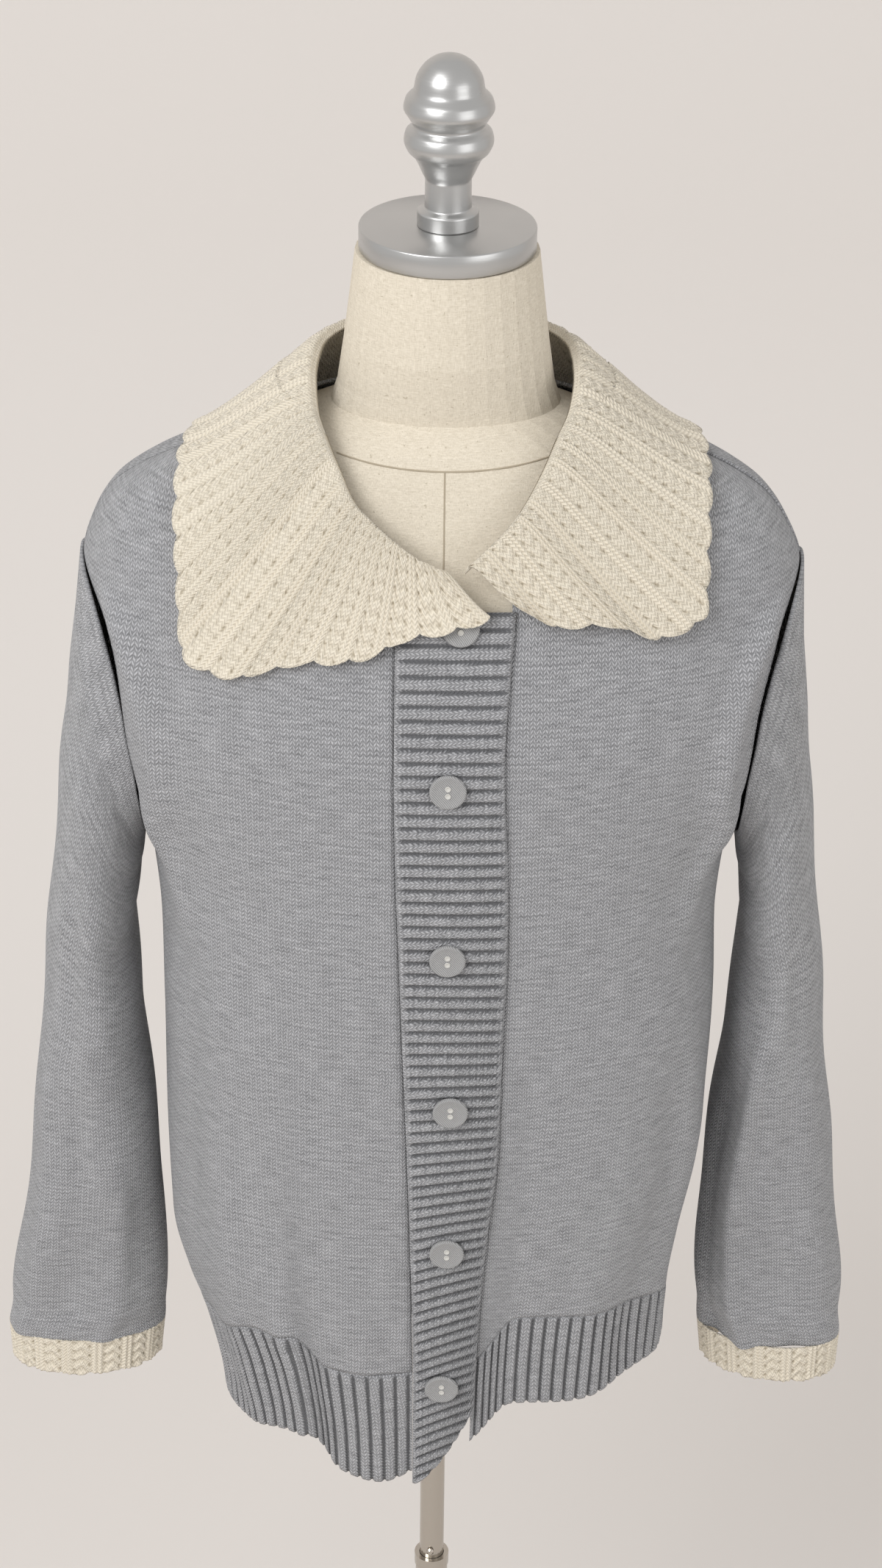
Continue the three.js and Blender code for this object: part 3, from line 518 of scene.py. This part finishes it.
def metal_material(name, color, roughness, grain):
    """Turned metal: fine lines round its axis."""
    n = Nodes(name, color, roughness, 1.0)
    where = n.add("ShaderNodeTexCoord").outputs["Object"]
    mapping = n.add("ShaderNodeMapping")
    mapping.inputs["Scale"].default_value = grain
    n.link(where, mapping.inputs["Vector"])
    lines = n.noise(mapping.outputs[0], 1.0, 3.0)
    n.link(n.math("MULTIPLY_ADD", lines, 0.18, roughness - 0.09), n.shader.inputs["Roughness"])
    n.link(n.bump(lines, 0.00008, 0.3), n.shader.inputs["Normal"])
    return n.material


def button_material():
    """Fine diagonal twill over the button."""
    n = Nodes("button_cloth", (0.3, 0.3, 0.3), 0.8)
    where = n.add("ShaderNodeTexCoord").outputs["Object"]
    mapping = n.add("ShaderNodeMapping")
    mapping.inputs["Rotation"].default_value = (0, math.radians(40), 0)
    n.link(where, mapping.inputs["Vector"])
    wave = n.add("ShaderNodeTexWave")
    wave.inputs["Scale"].default_value = 320.0
    wave.inputs["Distortion"].default_value = 2.0
    n.link(mapping.outputs[0], wave.inputs["Vector"])
    tone = n.math("MULTIPLY_ADD", n.noise(where, 900.0), 0.6, wave.outputs["Fac"])
    n.link(n.ramp(tone, 0.1, 1.4, (0.2, 0.2, 0.205), (0.46, 0.46, 0.46)), n.shader.inputs["Base Color"])
    n.link(n.bump(tone, 0.0003, 0.6), n.shader.inputs["Normal"])
    return n.material


GREY_DARK = (0.15, 0.152, 0.162)
GREY_LIGHT = (0.66, 0.665, 0.69)
GREY = knit_material("grey_knit", GREY_DARK, GREY_LIGHT)
GREY_RIB = knit_material("grey_rib", GREY_DARK, GREY_LIGHT, wale=4.15)
CREAM = cream_material("cream_knit", (0.36, 0.30, 0.21), (0.86, 0.79, 0.66))
LINEN = linen_material()
BRUSHED = metal_material("brushed_aluminium", (0.56, 0.56, 0.555), 0.32, (40, 40, 1500))
NICKEL = metal_material("nickel", (0.5, 0.46, 0.41), 0.18, (300, 300, 20))
BASE_METAL = metal_material("base_metal", (0.55, 0.55, 0.55), 0.35, (60, 60, 60))
BUTTON = button_material()
EYELET = Nodes("eyelet", (0.62, 0.61, 0.58), 0.5).material
SEAM_LINE = Nodes("seam_line", (0.42, 0.36, 0.27), 0.9).material
# painted shade: near-black discs stand in for the shade inside the button holes
HOLE_SHADE = Nodes("hole_shade", (0.03, 0.03, 0.03), 0.9).material


def finish(piece, material, slot, *nodes):
    """Gives a cloth piece its material and body, and hides the nodes that it stands for."""
    piece.data.materials.append(material)
    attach(piece, "root")
    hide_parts(*nodes)


# ------------------------------------------------------------------ panels
def front_span(z, sign):
    edge = look_up(BAND, 1 if sign < 0 else 2, z)
    x = np.abs(edge) + (SEAM if sign < 0 else BAND_SEAM)
    x = np.where(z > NECKLINE[0, 0], np.maximum(look_up(NECKLINE, 1, z), x), x)
    return angle_of_x(sign * x, z), panel_end(z, -1)


def panel_rows():
    """Heights from the rib to the neck, one row for each share of the way up."""
    low = np.linspace(0, 1, PANEL_LOW_ROWS, endpoint=False)
    arm = ARMHOLE_MIDDLE - ARMHOLE_HALF * np.cos(np.linspace(0, math.pi, ARMHOLE_ROWS))
    high = np.linspace(SHOULDER_Z + 2, NECK_TOP, PANEL_HIGH_ROWS - ARMHOLE_ROWS)
    return low, np.concatenate([arm, high])


def front_panel(sign, name):
    columns = np.linspace(0, 1, FRONT_COLUMNS)
    low, high = panel_rows()
    start, _ = front_span(np.array(BAND[0, 0]), sign)
    foot_angle = start + (90 - SEAM_ANGLE - start) * columns
    foot = look_up(HEM, 1, sign * foot_angle) + SEAM
    z = np.concatenate([
        foot[None, :] + (UNDERARM_Z - foot[None, :]) * low[:, None],
        np.repeat(high[:, None], len(columns), axis=1),
    ])
    start, end = front_span(z, sign)
    angle = start + (end - SEAM_ANGLE - start) * columns[None, :]
    points = round_point(sign * angle, z)
    drop = 0.0 if sign < 0 else -UNDER_BAND_DROP
    crease = folds(sign * angle, z) * smooth(0, 0.12, columns)[None, :]
    crease *= 1 - smooth(1230, 1290, z)
    arm = smooth(UNDERARM_Z, UNDERARM_Z + 60, z) * (1 - smooth(SHOULDER_Z - 30, SHOULDER_Z, z))
    roll = 8.0 * np.exp(-(((columns[None, :] - 0.84) / 0.075) ** 2)) * arm
    roll -= 3.0 * smooth(0.92, 0.99, columns[None, :]) * arm
    outer, inner = on_form(points, drop + crease + roll, CLOTH)
    uv = grid_uv(points, True)
    uv[..., 1] = z
    piece = shell(name, outer, inner, uv)
    finish(piece, GREY, "grey_knit", name)


def back_panel():
    columns = np.linspace(-1, 1, BACK_COLUMNS)
    low, high = panel_rows()
    high = high[high <= BACK_NECK_TOP]
    sign = np.where(columns < 0, -1.0, 1.0)
    foot = look_up(HEM, 1, sign * (180 - 90 * np.abs(columns))) + SEAM
    z = np.concatenate([
        foot[None, :] + (UNDERARM_Z - foot[None, :]) * low[:, None],
        np.repeat(high[:, None], len(columns), axis=1),
    ])
    end = panel_end(z, 1) + SEAM_ANGLE
    away = (180 - end) * np.abs(columns)[None, :]
    angle = sign[None, :] * (180 - away)
    points = round_point(angle, z)
    crease = folds(angle, z) * (1 - smooth(1180, 1260, z))
    outer, inner = on_form(points, crease, CLOTH)
    uv = grid_uv(points)
    uv[..., 1] = z
    piece = shell("back", outer, inner, uv)
    finish(piece, GREY, "grey_knit", "back")


def rib_height(distance, pitch, depth):
    """Wide flat ribs between narrow grooves."""
    away = np.abs((distance / pitch) % 1.0 - 0.5) * 2
    return -depth * smooth(0.5, 1.0, away) + 0.25 * depth


def follow_band(angle, z):
    """The angle of a front's hem at a height, so that its edge keeps beside the band."""
    sign = np.sign(angle[0])
    at_foot, _ = front_span(np.array(BAND[0, 0]), sign)
    start, _ = front_span(z, sign)
    part = (np.abs(angle) - at_foot) / (90 - SEAM_ANGLE - at_foot)
    return sign * (start + (90 - SEAM_ANGLE - start) * part[None, :])


def hem_piece(name, angles, drop):
    part = np.linspace(0, 1, HEM_ROWS)[:, None]
    low, high = look_up(HEM, 2, angles), look_up(HEM, 1, angles)
    z = low[None, :] + (high - low)[None, :] * part
    around = np.broadcast_to(angles, z.shape) if name == "hem_back" else follow_band(angles, z)
    points = round_point(around, z)
    uv = grid_uv(points)
    middle = uv[HEM_ROWS // 2, :, 0]
    ribs = rib_height(middle, RIB_PITCH, RIB_DEPTH)[None, :] * (1 - smooth(0.95, 1.0, part))
    edge = -1.2 * (1 - smooth(0.0, 0.04, part))
    outer, inner = on_form(points, drop + folds(angles[None, :], z) + ribs + edge, CLOTH)
    # painted shade: the attribute darkens the grooves between the ribs
    piece = shell(name, outer, inner, uv, attributes={"shaded_pit": smooth(0.2, -1.2, ribs) + 0 * z})
    finish(piece, GREY_RIB, "grey_knit", name)


def front_hem_angles(sign):
    start, _ = front_span(np.array(BAND[0, 0]), sign)
    return sign * np.linspace(float(start), 90 - SEAM_ANGLE, FRONT_HEM_COLUMNS)


def back_hem_angles():
    away = np.linspace(SEAM_ANGLE - 90, 90 - SEAM_ANGLE, BACK_HEM_COLUMNS)
    return np.where(away < 0, -180 - away, 180 - away)


# ------------------------------------------------------------------ button bands
def band_piece(name, foot, top, widen, cover, height, thick):
    part = np.linspace(0, 1, BAND_ROWS)[:, None]
    across = np.linspace(0, 1, BAND_COLUMNS)[None, :]
    start = foot(across)
    z = start + (top - start) * part
    left = look_up(BAND, 1, z) + widen
    right = look_up(BAND, 2, z) + cover
    x = left + (right - left) * across
    base = at_height(face_point(x, z), 0.0)
    uv = grid_uv(base)[..., ::-1]
    slant = 0.55 * smooth(1000, 640, z) * (x - left)
    ribs = rib_height(z - slant, RIB_PITCH, RIB_DEPTH)
    ribs = ribs * smooth(0.02, 0.08, across) * (1 - smooth(0.93, 0.99, across))
    roll = 0.7 * smooth(0.92, 0.97, across) - 1.4 * smooth(0.98, 1.0, across)
    roll = roll - 1.0 * (1 - smooth(0, 0.03, across))
    angle = np.sign(x) * angle_of_x(x, z)
    creases = BAND_FOLD_SHARE * folds(angle, z)
    outer, inner = on_form(base, height + ribs + roll + creases, thick)
    # painted shade: darker in the grooves between the ribs
    shaded_pit = smooth(0.2, -1.2, ribs) + 0 * z
    piece = shell(name, outer, inner, np.ascontiguousarray(uv), attributes={"shaded_pit": shaded_pit})
    finish(piece, GREY_RIB, "grey_knit", name)


# ------------------------------------------------------------------ sleeves and cuffs
def armhole_ring(sign, turn, lift):
    z = ARMHOLE_MIDDLE + ARMHOLE_HALF * np.cos(turn)
    y = -np.where(np.sin(turn) >= 0, ARMHOLE_FRONT, ARMHOLE_BACK) * np.sin(turn)
    ring = round_point(sign * angle_of_y(y, z), z)
    ring[..., 0] += sign * lift
    return ring


def sleeve_rings(sign, table, rows, turn, inset):
    values = [look_up(numbered(table), column, rows)[:, None] for column in range(1, 7)]
    out_x, out_z, in_x, in_z, mid_y, depth = values
    along = np.cos(turn)[None, :]
    x = (out_x + in_x) / 2 + ((out_x - in_x) / 2 - inset) * along
    y = mid_y - (depth - inset) * np.sin(turn)[None, :]
    z = (out_z + in_z) / 2 + (out_z - in_z) / 2 * along
    return np.stack([sign * x, y, z], axis=-1)


def sleeve_piece(name, sign, table, creases):
    turn = np.linspace(0, 2 * math.pi, SLEEVE_COLUMNS)
    rows = np.linspace(0, len(table) - 1, SLEEVE_ROWS)
    lower = sleeve_rings(sign, table, rows, turn, 0.0)
    first = armhole_ring(sign, turn, ARMHOLE_GAP)[None]
    share = np.linspace(0, 1, SLEEVE_HEAD_ROWS, endpoint=False)[:, None, None]
    upper = first * (1 - share) + lower[:1] * share
    outer = np.concatenate([upper, lower])
    smooth_tube = outer.copy()
    normal = grid_normals(outer)
    centre = outer.mean(axis=1, keepdims=True)
    facing = np.sign(np.sum(normal * (outer - centre)))
    normal *= facing
    level = np.concatenate([np.zeros(SLEEVE_HEAD_ROWS), rows])[:, None]
    lift = np.zeros(outer.shape[:2])
    for middle, row_from, row_to, width, depth in creases:
        away = (np.degrees(turn)[None, :] - middle - 6 * np.sin(level * 1.3) + 180) % 360 - 180
        reach = smooth(row_from, row_from + 1.0, level) * (1 - smooth(row_to - 1.0, row_to, level))
        lift += depth * np.exp(-((away / width) ** 2)) * reach
    lift += 0.9 * np.sin(level * 4.1 + 2 * turn[None, :]) * smooth(0.5, 1.5, level)
    lift[:, -1] = lift[:, 0]
    outer = outer + normal * lift[..., None]
    inner = outer - normal * CLOTH
    outer[:, -1] = outer[:, 0]
    inner[:, -1] = inner[:, 0]
    piece = shell(name, outer, inner, grid_uv(outer), wrapped=True)
    finish(piece, GREY, "grey_knit", name)


def lace(lane, along):
    """Height and eyelets of the lace knit, and its painted shade: twin ribs between lanes of slanting
    leaves; the eyelets and the low parts are painted dark.
    """
    place = lane % 1.0
    twin = np.exp(-(((place - 0.10) / 0.055) ** 2)) + np.exp(-(((place - 0.28) / 0.055) ** 2))
    leaf = smooth(0.38, 0.46, place) * (1 - smooth(0.93, 1.0, place))
    middle = np.abs(place - 0.69)
    step = along / 7.4 + np.floor(lane) * 0.37
    plait = np.sin(2 * math.pi * (step + 2.3 * middle))
    height = 1.5 * twin + leaf * (0.5 + 0.95 * plait * (1 - 1.5 * middle))
    fraction = step % 1.0 - 0.5
    left = np.exp(-(((place - 0.44) / 0.05) ** 2) - ((fraction / 0.13) ** 2))
    right = np.exp(-(((place - 0.93) / 0.05) ** 2) - ((((step + 0.5) % 1.0 - 0.5) / 0.13) ** 2))
    shaded_pit = np.clip(left + right, 0, 1)
    # the second value is painted shade: dark in the eyelets, and darker where the relief is low
    return height - 0.9 - 1.5 * shaded_pit, np.clip(shaded_pit + 0.35 * (0.5 - height), 0, 1)


def cuff_piece(name, sign, table):
    turn = np.linspace(0, 2 * math.pi, CUFF_COLUMNS)
    last = table[-1].astype(float)
    lines = []
    for drop in np.linspace(SEAM, CUFF_HEIGHT, CUFF_ROWS):
        part = drop / CUFF_HEIGHT
        lines.append([
            last[0] - part, last[1] - drop, last[2] + 3 * part, last[3] - drop, last[4], last[5],
        ])
    base = sleeve_rings(sign, np.array(lines), np.arange(CUFF_ROWS), turn, 0.0)
    lanes = CUFF_LANES * turn[None, :] / (2 * math.pi)
    # the second value is painted shade for the eyelets and the low parts of the lace
    height, shaded_pit = lace(np.broadcast_to(lanes, base.shape[:2]), base[..., 2])
    centre = base.mean(axis=1, keepdims=True)
    normal = (base - centre) * np.array([1, 1, 0])
    normal /= np.linalg.norm(normal, axis=-1, keepdims=True)
    outer = base + normal * (height + 0.6)[..., None]
    near_edge = smooth(0.8, 1.0, np.linspace(0, 1, CUFF_ROWS))[:, None]
    scallop = 1.6 * np.abs(np.sin(math.pi * lanes)) * near_edge
    outer[..., 2] -= scallop - 1.0
    inner = base - normal * CLOTH
    outer[:, -1] = outer[:, 0]
    inner[:, -1] = inner[:, 0]
    piece = shell(name, outer, inner, grid_uv(base), wrapped=True, attributes={"shaded_pit": shaded_pit})
    finish(piece, CREAM, "cream_knit", name)


# ------------------------------------------------------------------ collar
def collar_piece():
    stations = np.linspace(0, len(COLLAR) - 1, COLLAR_STATIONS)
    table = numbered(COLLAR)
    roll = np.stack([look_up(table, c, stations) for c in (1, 2, 3)], axis=-1)
    edge = np.stack([look_up(table, c, stations) for c in (4, 5, 6)], axis=-1)
    length = np.concatenate([[0], np.cumsum(np.linalg.norm(np.diff(edge, axis=0), axis=-1))])
    lane = length / length[-1] * COLLAR_LANES
    out = edge - roll
    width = np.linalg.norm(out, axis=-1)
    scallop = 3.6 * (np.abs(np.sin(math.pi * lane)) ** 0.7 - 0.6)
    front = np.maximum(1 - smooth(0, 6, stations), smooth(17, 23, stations))
    wide = 3.0 * np.abs(np.sin(math.pi * lane / 2.6)) * front
    edge = edge + out / width[:, None] * (scallop + wide)[:, None]
    part = np.linspace(0, 1, COLLAR_COLUMNS)[None, :, None]
    points = roll[:, None, :] * (1 - part) + edge[:, None, :] * part
    part = part[..., 0]
    points[..., 2] += COLLAR_CROWN * np.sin(math.pi * np.sqrt(part)) * (1 - part)
    lap = FIRST_LAP_LIFT * (1 - smooth(0.8, LAP_STATIONS, stations))
    clear = (COLLAR_GAP + lap)[:, None]
    low = (height_over(points) < clear)[..., None]
    base = np.where(low, at_height(points, clear + 0 * part), points)
    along = part * width[:, None]
    # the second value is painted shade for the eyelets and the low parts of the lace
    height, shaded_pit = lace(np.broadcast_to(lane[:, None], along.shape), along)
    fade = smooth(0.0, 0.05, part) * (1 - smooth(0.975, 1.0, part))
    wave = 1.2 * np.sin(stations[:, None] * 2.1) * smooth(0.5, 1.0, part)
    height = height * fade + 0.6 + np.maximum(wave, 0)
    off_body = gradient(base)
    off_body /= np.linalg.norm(off_body, axis=-1, keepdims=True)
    outward = base * np.array([1, 1, 0])
    outward /= np.linalg.norm(outward, axis=-1, keepdims=True)
    outward = (outward + np.array([0, 0, 0.9])) / math.hypot(1, 0.9)
    turned = np.maximum(0, 1 - 3 * part)[..., None]
    normal = off_body * (1 - turned) + outward * turned
    normal /= np.linalg.norm(normal, axis=-1, keepdims=True)
    outer = base + normal * (COLLAR_THICK + height)[..., None]
    uv = np.stack([np.broadcast_to(lane[:, None] * COLLAR_LANE_WIDTH, along.shape), along], axis=-1)
    piece = shell("collar", outer, base, uv, attributes={"shaded_pit": shaded_pit * fade})
    finish(piece, CREAM, "cream_knit", "collar")


front_panel(-1, "front_right")
front_panel(1, "front_left")
back_panel()
hem_piece("hem_front_right", front_hem_angles(-1), 0.0)
hem_piece("hem_front_left", front_hem_angles(1), -UNDER_BAND_DROP)
hem_piece("hem_back", back_hem_angles(), 0.0)
band_piece(
    "button_band", lambda part: BAND_FOOT + BAND_FOOT_RISE * part ** 1.6, BAND_TOP,
    0, BAND_COVER, BAND_LIFT, 2.4,
)
band_piece(
    "under_band", lambda part: UNDER_BAND_FOOT + UNDER_BAND_FOOT_RISE * part, UNDER_BAND_TOP,
    4, 0, -UNDER_BAND_DROP, 2.0,
)
# Creases of the sleeves: angle round the sleeve, first row, last row, half width, depth.
RIGHT_CREASES = [
    (40, 4, 9.5, 12, 3.0), (75, 2, 8, 14, -4.0), (110, 5, 9.5, 10, 3.0), (250, 3, 9, 18, 4.0),
]
LEFT_CREASES = [
    (118, 3.5, 9.5, 9, 7.0), (75, 2, 9.5, 16, -3.0), (150, 4, 9.5, 12, -4.0), (250, 3, 9, 18, 4.0),
]
sleeve_piece("sleeve_right", -1, SLEEVE_RIGHT, RIGHT_CREASES)
sleeve_piece("sleeve_left", 1, SLEEVE_LEFT, LEFT_CREASES)
cuff_piece("cuff_right", -1, SLEEVE_RIGHT)
cuff_piece("cuff_left", 1, SLEEVE_LEFT)
collar_piece()


# ------------------------------------------------------------------ form and metal
def recolor(node, material):
    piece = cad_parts[node]
    piece.data.materials.clear()
    piece.data.materials.append(material)
    return piece


def seam_line(name, xs, zs, depth):
    """A sewn seam of the form's cover: a fine ridge along points just on its surface."""
    line = at_height(face_point(xs, zs), np.full(len(xs), depth)) * MM
    curve = bpy.data.curves.new(name, "CURVE")
    curve.dimensions = "3D"
    curve.bevel_depth = 0.0005
    spline = curve.splines.new("POLY")
    spline.points.add(len(line) - 1)
    for point, place in zip(spline.points, line):
        point.co = (*place, 1)
    piece = bpy.data.objects.new(name, curve)
    bpy.context.scene.collection.objects.link(piece)
    curve.materials.append(SEAM_LINE)
    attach(piece, "root")


def lathe(name, profile, sides, material):
    """A turned piece through a profile of radius and height, with smooth sides."""
    turn = np.linspace(0, 2 * math.pi, sides, endpoint=False)
    rings = np.array([[[r * math.cos(t), r * math.sin(t), z] for t in turn] for r, z in profile])
    rows = len(profile)
    index = np.arange(rows * sides).reshape(rows, sides)
    a, b = index[:-1], np.roll(index[:-1], -1, axis=1)
    c, d = np.roll(index[1:], -1, axis=1), index[1:]
    faces = np.stack([a, b, c, d], axis=-1).reshape(-1, 4).tolist()
    faces += [index[0, ::-1].tolist(), index[-1].tolist()]
    piece = make_mesh(name, rings.reshape(-1, 3), faces)
    piece.data.materials.append(material)
    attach(piece, "root")
    return piece


def button(number, x, z):
    """A dished button under twill, with two rimmed holes one over the other; in each hole a black disc is
    painted shade.
    """
    profile = [(0.1, 2.2), (6.4, 2.3), (8.2, 2.6), (9.6, 3.2), (10.3, 3.0), (10.7, 2.0), (10.6, 1.0),
               (9.6, 0.1), (0.1, 0.0)]
    name = f"covered_button_{number}"
    piece = lathe(name, profile, 64, BUTTON)
    rims = []
    for side in (-1, 1):
        rim = [(1.75, 2.2), (1.7, 2.75), (1.35, 2.85), (1.1, 2.5)]
        eyelet = lathe(f"{name}_eyelet_{side + 1}", rim, 20, EYELET)
        # painted shade: a black disc in each hole
        hole_shade = lathe(f"{name}_hole_{side + 1}", [(1.1, 2.25), (0.1, 2.42)], 16, HOLE_SHADE)
        for small in (eyelet, hole_shade):
            small.data.transform(Matrix.Translation((0, side * 2.3 * MM, 0)))
        rims += [eyelet, hole_shade]
    seat = at_height(face_point(np.array(float(x)), np.array(float(z))), np.array(BAND_LIFT + BUTTON_GAP))
    normal = gradient(seat)
    normal = Vector(normal / np.linalg.norm(normal))
    side_way = Vector((0, 0, 1)).cross(normal).normalized()
    up_way = normal.cross(side_way)
    turn = Matrix((side_way, up_way, normal)).transposed().to_4x4()
    place = Matrix.Translation(Vector(seat * MM)) @ turn
    for item in [piece] + rims:
        item.data.transform(place)
    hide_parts(f"button_{number}")


# Height and radius of the finial.
FINIAL = np.array([
    [0, 17.3], [8, 17.3], [9.5, 16], [10, 13.2], [26, 13], [31, 15], [39.5, 19.2], [43.5, 23],
    [49, 25], [54, 24], [58, 20.4], [62, 22.4], [67.5, 25.3], [72.5, 24.2], [78, 19.8],
    [84, 18.6], [91, 14.6], [96, 8], [97.8, 1.5],
])
finial_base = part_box("finial")[0][2] / MM
heights = np.linspace(0, FINIAL[-1, 0], FINIAL_ROWS)
finial = lathe(
    "turned_finial",
    [(float(look_up(FINIAL, 1, h)), finial_base + h) for h in heights],
    96, BRUSHED,
)
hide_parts("finial")
cap_low, cap_high = (corner[2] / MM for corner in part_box("neck_cap"))
cap_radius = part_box("neck_cap")[1][0] / MM
cap = lathe(
    "brushed_cap",
    [(cap_radius - 0.8, cap_low), (cap_radius, cap_low + 0.8), (cap_radius, cap_high - 0.8),
     (cap_radius - 0.3, cap_high - 0.2), (cap_radius - 0.8, cap_high)],
    128, BRUSHED,
)
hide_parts("neck_cap")
for node in ("upper_pole", "lower_pole", "pole_collar", "spring_button"):
    recolor(node, NICKEL)
for node in ("base_plate", "base_socket"):
    recolor(node, BASE_METAL)

FORM_UNDER = -4.3        # the form's face lies this far under the outer face of the cloth
seam_line("centre_front_seam", np.zeros(24), np.linspace(1236, 1317, 24), FORM_UNDER)
neck_x = np.linspace(-62, 62, 50)
seam_line("neck_seam", neck_x, 1317 + 7 * (neck_x / 62) ** 2, FORM_UNDER)
form = recolor("form_torso", LINEN)
form.data.polygons.foreach_set("use_smooth", [True] * len(form.data.polygons))
for number, (z, x) in enumerate(BUTTONS, 1):
    button(number, x, z)


# ------------------------------------------------------------------ stage, light, camera
def backdrop():
    """A floor that curves up into a wall behind the form."""
    profile = [(-4.0, 0.0), (0.9, 0.0)]
    for t in np.linspace(0.1, math.pi / 2, 16):
        profile.append((0.9 + 0.8 * math.sin(t), 0.8 - 0.8 * math.cos(t)))
    profile += [(1.7, 3.5)]
    rings = np.array([[[-4000, y * 1000, z * 1000], [4000, y * 1000, z * 1000]] for y, z in profile])
    faces = [[2 * i, 2 * i + 1, 2 * i + 3, 2 * i + 2] for i in range(len(profile) - 1)]
    piece = make_mesh("backdrop", rings.reshape(-1, 3), faces)
    n = Nodes("backdrop", (0.80, 0.765, 0.735), 1.0)
    n.shader.inputs["Specular IOR Level"].default_value = 0.0
    piece.data.materials.append(n.material)


def area_light(name, place, target, size, power):
    data = bpy.data.lights.new(name, "AREA")
    data.shape = "RECTANGLE"
    data.size, data.size_y = size
    data.energy = power
    lamp = bpy.data.objects.new(name, data)
    lamp.location = place
    lamp.rotation_euler = (Vector(target) - Vector(place)).to_track_quat("-Z", "Y").to_euler()
    bpy.context.scene.collection.objects.link(lamp)


backdrop()
area_light("key", (-1.6, -2.0, 3.0), (0, 0, 1.1), (1.6, 1.6), 52)
area_light("fill", (2.2, -2.2, 1.8), (0, 0, 1.0), (2.0, 2.0), 14)
world = bpy.data.worlds.new("studio")
bpy.context.scene.world = world
world.use_nodes = True
world.node_tree.nodes["Background"].inputs[0].default_value = (1.0, 0.985, 0.97, 1)
world.node_tree.nodes["Background"].inputs[1].default_value = 0.66

CAMERA_DISTANCE = 1.846
CAMERA_HEIGHT = 2.130
PITCH = 29.61
ROLL = 0.706
FOCAL_IN_IMAGE_HEIGHTS = 4745 / 2133
camera_data = bpy.data.cameras.new("camera")
camera_data.sensor_width = 36.0
camera_data.lens = 36.0 * FOCAL_IN_IMAGE_HEIGHTS
camera = bpy.data.objects.new("camera", camera_data)
tilt = Euler((math.radians(90 - PITCH), 0, 0)).to_matrix().to_4x4()
stand = Matrix.Translation((0, -CAMERA_DISTANCE, CAMERA_HEIGHT))
camera.matrix_world = stand @ tilt @ Matrix.Rotation(math.radians(ROLL), 4, "Z")
bpy.context.scene.collection.objects.link(camera)
bpy.context.scene.camera = camera
bpy.context.scene.view_settings.view_transform = "Standard"

bpy.context.view_layer.update()
